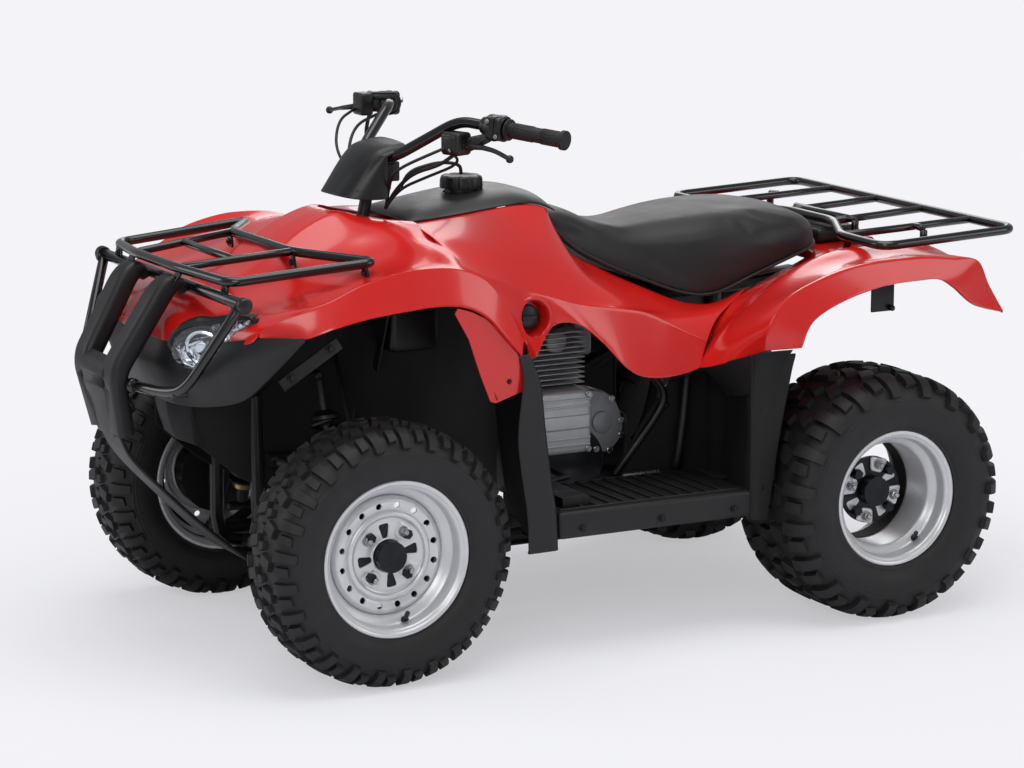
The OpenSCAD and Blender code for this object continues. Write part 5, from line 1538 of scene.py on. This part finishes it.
@dataclass
class Controls:
    """Handlebar, grips, switch boxes, levers, reservoir, shroud and cables."""

    def on_bar(self, d: float, across: float = 0.0, up: float = 0.0) -> Array:
        """Point at a distance along the left bar, moved across it (forward) and up."""
        return BAR_IN + BAR_DIR * d + BAR_NORMAL * across + BAR_UP * up

    def bar(self) -> None:
        """The handlebar tube, with its clamp."""
        rise = np.concatenate([rounded(fa([(40, 192, 968), (74, 201, 970), (158, 303, 1046)]).tolist()
                                       + [(BAR_IN + BAR_DIR * 60).tolist()], 34, 8), [BAR_OUT]])
        path = np.concatenate([mirrored(rise)[::-1], rise])
        piece("handlebar_tube", tube(path, BAR_R, (0, 0, 1), sides=24), Body.STEERING, BLACK_TUBE,
            "handlebar")
        clamps = joined([block((34, 46, 30), 6, (0, 0, 0), 0).moved((x, FRONT_Y + 192, 966)) for x in (-38,
            38)])
        tops = joined([bolt((x, FRONT_Y + 192 + y, 980), (0, 0, 1), 5) for x in (-38, 38) for y in (-15, 15)])
        piece("handlebar_clamps", joined([clamps, tops]), Body.STEERING, SMOOTH_BLACK)

    def grips(self) -> None:
        """Rubber grips: ribs every 5 mm broken into squares, a plain band in the middle, and flanges at
        both ends."""
        length = float(np.linalg.norm(BAR_OUT - BAR_IN)) - 120
        z = np.linspace(0, length + 9, 220)[None, :]
        a = np.linspace(0, 2 * np.pi, 96, endpoint=False)[:, None]
        rib = 1.1 * smooth((np.abs(np.sin(np.pi * z / 5.0)) - 0.35) / 0.3) * smooth((z - 12) / 3) \
            * smooth((length - 8 - z) / 3)
        rib = rib * (0.35 + 0.65 * smooth((np.abs(np.sin(8 * a)) - 0.3) / 0.3)) \
            * smooth((np.abs(z - length * 0.55) - 9) / 2)
        r = 15.0 + rib + 6.5 * smooth((5 - z) / 2) + 4.5 * smooth((z - length + 3) / 2) \
            * smooth((length + 8 - z) / 3 + 0.4)
        grid = np.stack([r * np.cos(a), r * np.sin(a), np.broadcast_to(z, r.shape)], -1)
        ends = [np.repeat([[[1e-3, 0, q]]], 96, 0) for q in (0.0, length + 9)]
        grip = closed_grid(np.concatenate([ends[0], grid, ends[1]], 1),
            wrap_rows=True).moved(matrix=BAR_FRAME)
        piece("handlebar_grips", grip.moved(self.on_bar(120)).pair(), Body.STEERING, SOFT_RUBBER, "grips")

    def switches(self) -> None:
        """Switch housing and box on the left, throttle housing, master cylinder and reservoir on the
        right."""
        perch = lathe([(0, 0.01), (0, 17), (2, 18), (12, 18), (14, 24), (17, 25.5), (52, 25.5), (55, 23),
            (56, 12), (56, 0.01)], 40, "z")
        parts = [perch.moved(matrix=BAR_FRAME).moved(self.on_bar(60)).pair()]
        body = block((46, 46, 38), 8, (2, 0, 35), 2).moved(matrix=BAR_FRAME).moved(self.on_bar(60))
        ridge = block((49, 49, 5), 8, (2, 0, 35), 2).moved(matrix=BAR_FRAME).moved(self.on_bar(60))
        parts += [body.pair(), ridge.pair()]
        inner = BAR_IN + [20, -18, -42]
        parts += [block((50, 42, 46), 8).moved(matrix=turn_z(20)).moved(inner),
            block((34, 47, 34), 6).moved(matrix=turn_z(20)).moved(inner)]
        parts.append(rod(inner, self.on_bar(72) - [0, 0, 20], 7))
        parts.append(rod(self.on_bar(84, 12, -18), [200, -230, 996], 10))
        piece("switch_boxes", joined(parts), Body.STEERING, SMOOTH_BLACK, "hand_controls")
        screws = [bolt(self.on_bar(60 + d, 25, u), BAR_NORMAL, 3.2, 3) for d, u in ((24, 14), (46, -14))]
        screws += [bolt(inner + [dx, -21, dz], (0, -1, 0), 3, 3) for dx, dz in ((-12, 12), (12, -12))]
        piece("switch_screws", joined([screws[0], screws[1]]).pair(), Body.STEERING, ZINC_STEEL)
        piece("switch_box_screws", joined(screws[2:]), Body.STEERING, ZINC_STEEL)
        tab = block((14, 8, 14), 3).moved(matrix=BAR_FRAME).moved(self.on_bar(96, -22, 12))
        piece("switch_latch", tab, Body.STEERING, LATCH_RED)
        button = lathe([(0, 0.01), (0, 6), (4, 6), (5, 4.5), (5, 0.01)], 24,
            "z").moved(matrix=facing(-BAR_NORMAL))
        piece("switch_buttons", button.moved(self.on_bar(88, -24, 6)).pair(), Body.STEERING, ZINC_STEEL)
        here = self.on_bar(76)
        master = [block((46, 34, 36), 8, (38, -1, 0), 2), block((62, 14, 44), 4, (16, 14, 2), 1),
            block((64, 5, 46), 3, (16, 21, 2), 1),
                  rod((58, -3, -10), (58, -3, -30), 8)]
        guard = block((44, 28, 46), 5).moved((222, -250, 1042)).mirror()
        piece("throttle_case", guard, Body.STEERING, SMOOTH_BLACK)
        reservoir = joined([m.moved(matrix=BAR_FRAME).moved(here).mirror() for m in master])
        piece("brake_reservoir", reservoir, Body.STEERING, SMOOTH_BLACK)
        lid = [bolt(here + BAR_NORMAL * x + BAR_UP * 23.5 + BAR_DIR * d, BAR_UP, 2.6, 2).mirror() for x,
            d in ((-8, -12), (40, 16))]
        piece("reservoir_screws", joined(lid), Body.STEERING, ZINC_STEEL)
        sight = rod(self.on_bar(52, 42, 3), self.on_bar(57, 42, 3), 8, 28).mirror()
        piece("reservoir_sight", sight, Body.STEERING, CLEAR_LENS)

    def levers(self) -> None:
        """Hand levers: flat blades with a waist behind the pivot, that end in a ball."""
        routes = ([(196, 293, 998), (230, 311, 1001), (290, 312, 1000), (352, 312, 991)],
                  [(-240, 280, 1036), (-270, 258, 1030), (-310, 263, 1024), (-352, 260, 1016)])
        shapes = []
        for points in routes:
            route = rounded(fa(points).tolist(), 20, 8)
            wide = along([(1.2, 1.3), (1.0, 1.1), (0.8, 1.0), (0.75, 0.9)], np.linspace(0, 1, len(route)))
            shapes.append(closed_grid(swept(route, rounded_box(10, 12, 4.2, 4), (0, 0, 1), scale=wide)))
            ball = lathe([(-8, 0.01), (-7, 4), (-4.5, 6.8), (0, 8), (4.5, 6.8), (7, 4), (8, 0.01)], 32, "z")
            shapes.append(ball.moved(route[-1]))
            shapes.append(lathe([(-7, 0.01), (-7, 9), (7, 9), (7, 0.01)], 32, "z").moved(route[0]))
        piece("brake_levers", joined(shapes), Body.STEERING, SMOOTH_BLACK, "levers")

    def shroud(self) -> None:
        """The pod over the bar clamp, with a stepped rear face, on thin stays."""
        line = fa([(0, 88, 896), (0, 130, 950), (0, 162, 979), (0, 192, 991), (0, 226, 995)])
        t = np.linspace(0, 1, 70)
        p = along(line, t)
        deep = np.clip(FRONT_Y + 182 - p[:, 1], 12, 95)[:, None]
        a = np.radians(np.linspace(-90, 90, 61))[None, :]
        x = 76 * np.sign(np.sin(a)) * np.abs(np.sin(a)) ** 0.8
        crown = np.broadcast_to(x, (70, 61))
        y = p[:, 1:2] + deep * (1 - np.maximum(np.cos(a), 0) ** 0.7)
        z = p[:, 2:3] - 8 * np.sin(a) ** 2 - 4 * smooth((np.abs(x) - 58) / 8) * smooth(t[:, None] * 3)
        piece("handlebar_pod", shell(np.stack([crown, y, z], -1), 3.2), Body.STEERING, SMOOTH_BLACK,
            "handlebar_cover")
        stays = [rod(*fa([(48, 130, 925), (30, 178, 935)]), 4), rod(*fa([(64, 120, 905), (40, 175, 905)]), 4),
                 rod(*fa([(26, 140, 905), (14, 176, 900)]), 3.5)]
        stays += [block((26, 44, 62), 8, (16, FRONT_Y + 196, 925), 2),
            block((12, 30, 40), 4, (36, FRONT_Y + 214, 936), 1)]
        piece("pod_stays", joined(stays).pair(), Body.STEERING, CHASSIS_BLACK)

    def cables(self) -> None:
        """Brake hose and control cables, from the boxes down beside the stem."""
        foot = [(66, 206, 902), (52, 190, 864)]
        back = [(-x, y, z) for x, y, z in foot]
        routes = [([(176, 285, 983), (150, 262, 958), (104, 226, 940)] + foot, 4.0),
                  ([(-243, 301, 1021), (-236, 288, 986), (-178, 262, 968), (-112, 226, 944)] + back, 4.0),
                  ([(196, 296, 1012), (168, 250, 990), (120, 176, 950), (80, 186, 915), (44, 196, 866)], 3.2),
                  ([(186, 270, 990), (170, 300, 962), (112, 250, 930), (70, 214, 905), (38, 196, 862)], 3.0),
                  ([(-208, 300, 1020), (-176, 232, 1004), (-120, 188, 948), (-70, 200, 905), (-40, 198, 862)],
                  3.2),
                  ([(-236, 262, 1030), (-214, 214, 1012), (-150, 176, 960), (-96, 190, 912), (-44, 192, 858)],
                  3.0)]
        cords = [tube(rounded(fa(points).tolist(), 50, 10), r, (0.3, 1, 0), sides=12) for points, r in routes]
        piece("control_hoses", joined(cords), Body.STEERING, SOFT_RUBBER, "control_cables")

    def build(self) -> None:
        """Makes the controls."""
        self.bar()
        self.grips()
        self.switches()
        self.levers()
        self.shroud()
        self.cables()
        redress("steering_stem", CHASSIS_BLACK)
        for node in ("tie_rod_left", "tie_rod_right"):
            redress(node, ZINC_STEEL)
        for node in ("knuckle_left", "knuckle_right"):
            redress(node, CHASSIS_BLACK)


# ---- Engine and chassis ----

@dataclass
class Engine:
    """The air-cooled single: finned barrel and head, silver side cover, black lower case and the intake."""

    def fins(self) -> None:
        """Cooling fins as thin rounded plates, 10.6 mm apart, over the barrel and head."""
        plates = [block((220, 120, 2.8), 1.3, (21, 20, 487 + 10.6 * k), 2) for k in range(11)]
        core = block((146, 104, 196), 20, (5, 18, 512), 2)
        piece("cylinder_fins", joined(plates), Body.CHASSIS, CAST_ALLOY, "cylinder_block")
        piece("cylinder_core", core, Body.CHASSIS, DARK_STEEL)
        cover = block((120, 92, 22), 10, (6, 18, 606), 2)
        lid = lathe([(0, 0.01), (0, 24), (6, 23), (9, 18), (9, 0.01)], 40).moved((120, 16, 574))
        piece("cylinder_head_cover", joined([cover, lid]), Body.CHASSIS, RAW_CASTING)
        plug = joined([rod((104, -10, 600), (132, -16, 610), 8),
            tube(rounded([(130, -16, 610), (150, -20, 616), (150, -20, 650),
                       (90, 0, 690)], 24, 8), 4.2)])
        piece("spark_plug_lead", plug, Body.CHASSIS, SOFT_RUBBER)

    def cases(self) -> None:
        """Crankcase: black lower case and round cover, a raised silver cover with bands, a bolted casing
        behind it."""
        body = block((226, 246, 176), 22, (5, 75, 323), 0)
        round_cover = lathe([(0, 0.01), (0, 84), (14, 84), (24, 79), (31, 72), (33, 40), (36, 34),
            (37, 0.01)], 72)
        dark = [body, round_cover.moved((116, 42, 325)), round_cover.mirror().moved((-80, 42, 325)),
                block((40, 180, 60), 12, (128, 96, 268), 0)]
        piece("crankcase_body", joined(dark), Body.CHASSIS, DARK_STEEL, "crankcase")
        silver = [block((70, 130, 132), 10, (134, 11, 413), 0), block((6, 120, 30), 4, (169, 11, 413), 0)]
        silver += [block((5, 122, 5), 2, (169.5, 11, z), 0) for z in (366, 380, 446, 460)]
        piece("crankcase_side_cover", joined(silver), Body.CHASSIS, CAST_ALLOY)
        line = looped([(0.0, 64, 470), (0.0, 104, 472), (0.0, 144, 452), (0.0, 164, 402), (0.0, 164, 370),
            (0.0, 132, 334),
                       (0.0, 96, 340), (0.0, 64, 352)], 22, 6)
        mid = line.mean(0)
        rows = [(90, 1.0), (138, 1.0), (144, 0.96), (146, 0.9), (146, 0.3)]
        casing = closed_grid(np.stack([mid + (line - mid) * f + [x, 0, 0] for x, f in rows]))
        hub = lathe([(140, 0.01), (140, 24), (150, 23), (153, 18), (153, 0.01)], 48).moved((0, 112, 402))
        piece("crankcase_casing", joined([casing, hub]), Body.CHASSIS, RAW_CASTING)
        places = [(149, 81, 462), (149, 133, 450), (149, 156, 402), (149, 156, 372), (149, 129, 342),
            (149, 98, 347)]
        places += [(172, -44, 470), (172, 66, 470), (172, -44, 356), (172, 66, 356)]
        piece("crankcase_bolts", joined([bolt(p, (1, 0, 0), 4.6, 4) for p in places]), Body.CHASSIS,
            ZINC_STEEL)
        tubes = [tube(rounded([(206, 176, 520), (204, 214, 486), (202, 230, 452), (200, 210, 415),
            (196, 112, 298)], 40, 8), 8),
                 tube(rounded([(214, 276, 520), (214, 268, 427), (212, 256, 330), (206, 252, 300)], 40, 8),
                     10),
                 rod((120, 200, 350), (200, 236, 440), 7)]
        piece("bay_tubes", joined(tubes), Body.CHASSIS, CHASSIS_BLACK)
        t = np.linspace(0, 1, 420)
        coil = np.stack([222 + 4.6 * np.cos(2 * np.pi * 26 * t), 118 + 86 * t,
            303 + 4.6 * np.sin(2 * np.pi * 26 * t)], -1)
        piece("brake_return_spring", tube(coil, 1.1, (0, 1, 0), sides=6), Body.CHASSIS, ZINC_STEEL)

    def intake(self) -> None:
        """Carburettor, boots and air box behind the barrel."""
        y = 18.0
        boot = tube(rounded([(10, y + 50, 566), (14, y + 100, 568), (16, y + 170, 590), (10, y + 240, 620)],
            30, 8), 26, sides=28)
        rings = [lathe([(-3, 24), (-3, 29), (3, 29), (3, 24)], 36,
            "z").moved(matrix=facing((0.02, 1, 0.1))).moved((12, y + d, 567))
                 for d in (78, 92, 122)]
        air_box = block((190, 190, 130), 24, (0, y + 300, 610), 2)
        piece("intake_boot", joined([boot] + rings), Body.CHASSIS, SOFT_RUBBER)
        piece("air_box", air_box, Body.CHASSIS, SMOOTH_BLACK)
        carb = [block((56, 44, 74), 9, (14, y + 108, 560), 2),
            rod((14, y + 108, 600), (14, y + 108, 630), 24, 28),
                rod((30, y + 104, 540), (62, y + 100, 536), 7)]
        piece("carburettor", joined(carb), Body.CHASSIS, RAW_CASTING)

    def exhaust(self) -> None:
        """Header pipe and muffler on the right."""
        route = rounded([(-46, -37, 470), (-54, -89, 492), (-146, -80, 430), (-152, 153.6, 420),
            (-152, REAR_Y - 160, 556),
                         (-152, REAR_Y - 130, 568)], 44, 8)
        can_axis = unit(np.array([-2.0, 310.0, 28.0]))
        can = lathe([(0, 0.01), (0, 30), (6, 42), (14, 46), (296, 46), (304, 43), (310, 30), (312, 20),
            (344, 19), (344, 15), (330, 14),
                     (330, 0.01)], 56, "z").moved(matrix=facing(can_axis)).moved((-152, REAR_Y - 140, 566))
        piece("exhaust_header", tube(route, 18, (0, 0.02, 1), sides=24), Body.CHASSIS, DARK_STEEL, "exhaust")
        piece("exhaust_muffler", can, Body.CHASSIS, CHASSIS_BLACK)

    def build(self) -> None:
        """Makes the engine."""
        self.fins()
        self.cases()
        self.intake()
        self.exhaust()


@dataclass
class Chassis:
    """Frame, arms and dampers: the nodes with their finishes, and the springs and hoses on them."""

    def spring(self, foot: Array, head: Array, r: float, turns: float, wire: float, start: float,
            end: float) -> None:
        """A coil spring: a helix of even pitch between two places on the damper's axis, with closed end
        turns.

        Args:
            foot: the damper's lower eye.
            head: its upper eye.
            r: the coil's mean radius.
            turns: number of turns.
            wire: the wire's radius.
            start: distance of the lower end from the foot.
            end: distance of the upper end from the head.
        """
        axis = unit(head - foot)
        length = float(np.linalg.norm(head - foot))
        t = np.linspace(0, 1, int(turns * 26))
        u = smooth(t) * 0.35 + t * 0.65
        a = 2 * np.pi * turns * t
        basis = facing(axis)
        z = start + (length - start - end) * u
        path = foot + np.stack([r * np.cos(a), r * np.sin(a), z], -1) @ basis.T
        shapes = [tube(path, wire, axis, sides=10)]
        cups = lathe([(start - 8, 0.01), (start - 8, r + 3), (start - 3, r + 4), (start - 3, 10),
            (start - 2, 0.01)], 36, "z")
        top = lathe([(length - end + 3, 0.01), (length - end + 3, r + 4), (length - end + 10, r + 3),
            (length - end + 22, 15),
                     (length - end + 22, 0.01)], 36, "z")
        body = lathe([(6, 0.01), (6, 14), (start, 15.5), (length * 0.5, 15.5), (length * 0.5, 8),
            (length - 10, 8), (length - 10, 0.01)], 32, "z")
        shapes += [s.moved(matrix=basis).moved(foot) for s in (cups, top, body)]
        return joined(shapes)

    def build(self) -> None:
        """Dresses the chassis."""
        for node in ("frame", "front_arms", "swing_arm"):
            redress(node, CHASSIS_BLACK)
        redress("foot_controls", DARK_STEEL)
        front = self.spring(fa([(250, 0, 222)])[0], fa([(150, -6, 560)])[0], 27, 8, 4.6, 62, 92)
        eyes = [rod(*fa([(66, -6, 560), (158, -6, 560)]), 9), rod(*fa([(250, -34, 216), (250, 34, 216)]), 10)]
        piece("front_damper_springs", joined([front] + eyes).pair(), Body.CHASSIS, CHASSIS_BLACK,
            "front_shocks")
        rear = self.spring(np.array([0, REAR_Y - 88, 330.0]), np.array([0, REAR_Y - 180, 636.0]), 29, 8, 5.2,
            52, 62)
        piece("rear_damper_spring", rear, Body.CHASSIS, CHASSIS_BLACK, "rear_shock")
        collar = lathe([(0, 15.8), (0, 22), (12, 22), (12, 15.8)], 36, "z")
        at, head = fa([(250, 0, 222)])[0], fa([(150, -6, 560)])[0]
        ring = collar.moved(matrix=facing(head - at)).moved(at + unit(head - at) * 40)
        piece("front_damper_collars", ring.pair(), Body.CHASSIS, YELLOW_ZINC)
        hoses = []
        for k in (1, -1):
            hoses.append(tube(rounded(fa([(60 * k, 60, 620), (150 * k, 40, 560), (230 * k, 20, 470),
                (300 * k, 34, 400), (338 * k, 30, 330)]), 60, 10), 4.5))
        piece("front_brake_hoses", joined(hoses), Body.CHASSIS, SOFT_RUBBER)


# ---- Studio ----

@dataclass
class Studio:
    """Floor, world, lamps and camera."""
    camera_place: tuple[float, float, float] = (6.4097, -3.4520, 1.9016)
    azimuth: float = 61.83
    elevation: float = 11.15
    lens: float = 125.64

    def camera(self) -> None:
        """The camera at the measured place: right, up and back vectors from azimuth and elevation."""
        az, el = math.radians(self.azimuth), math.radians(self.elevation)
        back = np.array([math.sin(az) * math.cos(el), -math.cos(az) * math.cos(el), math.sin(el)])
        right = np.array([math.cos(az), math.sin(az), 0.0])
        up = np.cross(back, right)
        data = bpy.data.cameras.new("camera")
        data.lens, data.sensor_width = self.lens, 36.0
        data.clip_end = 60.0
        camera = bpy.data.objects.new("camera", data)
        m = np.eye(4)
        m[:3, 0], m[:3, 1], m[:3, 2], m[:3, 3] = right, up, back, self.camera_place
        camera.matrix_world = Matrix(m.tolist())
        bpy.context.scene.collection.objects.link(camera)
        bpy.context.scene.camera = camera

    def lamp(self, name: str, place: Sequence[float], size: Sequence[float], watts: float,
            aim: Sequence[float] = (0, 0, 0.5)) -> None:
        """A rectangular softbox aimed at a point."""
        data = bpy.data.lights.new(name, "AREA")
        data.shape, data.size, data.size_y, data.energy = "RECTANGLE", size[0], size[1], watts
        obj = bpy.data.objects.new(name, data)
        m = np.eye(4)
        m[:3, :3] = facing(np.asarray(place, float) - np.asarray(aim, float))
        m[:3, 3] = place
        obj.matrix_world = Matrix(m.tolist())
        bpy.context.scene.collection.objects.link(obj)

    def surround(self) -> None:
        """The world: dim for light, pale for the camera, gloss and glass."""
        world = bpy.data.worlds.new("studio")
        bpy.context.scene.world = world
        world.use_nodes = True
        tree = world.node_tree
        tree.nodes.clear()
        path = add_node(tree, "ShaderNodeLightPath")
        seen = add_node(tree, "ShaderNodeMath", links={0: path.outputs["Is Camera Ray"],
            1: path.outputs["Is Transmission Ray"]},
                        operation="MAXIMUM")
        dim = add_node(tree, "ShaderNodeBackground", {"Color": linear("#eef0f6"), "Strength": 0.36})
        pale = add_node(tree, "ShaderNodeBackground", {"Color": linear("#f4f4f8"), "Strength": 1.0})
        mix = add_node(tree, "ShaderNodeMixShader", links={0: seen.outputs[0], 1: dim.outputs[0],
            2: pale.outputs[0]})
        add_node(tree, "ShaderNodeOutputWorld", links={"Surface": mix.outputs[0]})

    def floor(self) -> None:
        """A pale floor that fades to the background's colour away from the machine."""
        plane = Shape(np.array([(-16e3, -16e3, 0), (16e3, -16e3, 0), (16e3, 16e3, 0), (-16e3, 16e3, 0)],
            float), [[0, 1, 2, 3]])
        obj = make("floor", plane)
        mat = bpy.data.materials.new("studio_floor")
        mat.use_nodes = True
        tree = mat.node_tree
        tree.nodes.clear()
        place = add_node(tree, "ShaderNodeTexCoord").outputs["Object"]
        far = add_node(tree, "ShaderNodeVectorMath", links={0: place}, operation="LENGTH").outputs["Value"]
        fade = add_node(tree, "ShaderNodeMapRange", {"From Min": 0.5, "From Max": 2.2, "To Min": 0.5},
            {"Value": far}, interpolation_type="SMOOTHSTEP")
        path = add_node(tree, "ShaderNodeLightPath")
        seen = add_node(tree, "ShaderNodeMath", links={0: fade.outputs[0], 1: path.outputs["Is Camera Ray"]},
            operation="MULTIPLY")
        cloth = add_node(tree, "ShaderNodeBsdfDiffuse", {"Color": linear("#f6f6fa"), "Roughness": 0.6})
        glow = add_node(tree, "ShaderNodeEmission", {"Color": linear("#f4f4f8"), "Strength": 1.0})
        mix = add_node(tree, "ShaderNodeMixShader", links={0: seen.outputs[0], 1: cloth.outputs[0],
            2: glow.outputs[0]})
        add_node(tree, "ShaderNodeOutputMaterial", links={"Surface": mix.outputs[0]})
        obj.data.materials.append(mat)

    def build(self) -> None:
        """Sets the stage."""
        self.camera()
        self.surround()
        self.floor()
        self.lamp("top_softbox", (0.4, -0.3, 4.2), (4.2, 3.2), 104)
        self.lamp("key_softbox", (4.4, -3.8, 3.0), (2.6, 2.2), 62)
        self.lamp("side_softbox", (3.8, 3.6, 2.2), (2.2, 2.6), 36)
        self.lamp("nose_softbox", (-2.8, -4.4, 2.4), (2.4, 2.2), 36)
        self.lamp("back_softbox", (-4.2, 2.6, 2.8), (2.6, 2.6), 36)
        bpy.context.scene.view_settings.view_transform = "Standard"


def main() -> None:
    logging.basicConfig(level=logging.INFO, format="%(message)s")
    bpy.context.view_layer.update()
    Studio().build()
    Wheels().build()
    racks = Racks()
    racks.front()
    racks.rear()
    Bumper().build()
    Panels().build()
    Seat().build()
    Controls().build()
    Engine().build()
    Chassis().build()
    LOG.info("%d pieces", len(REPORT))


if __name__ == "__main__":
    main()
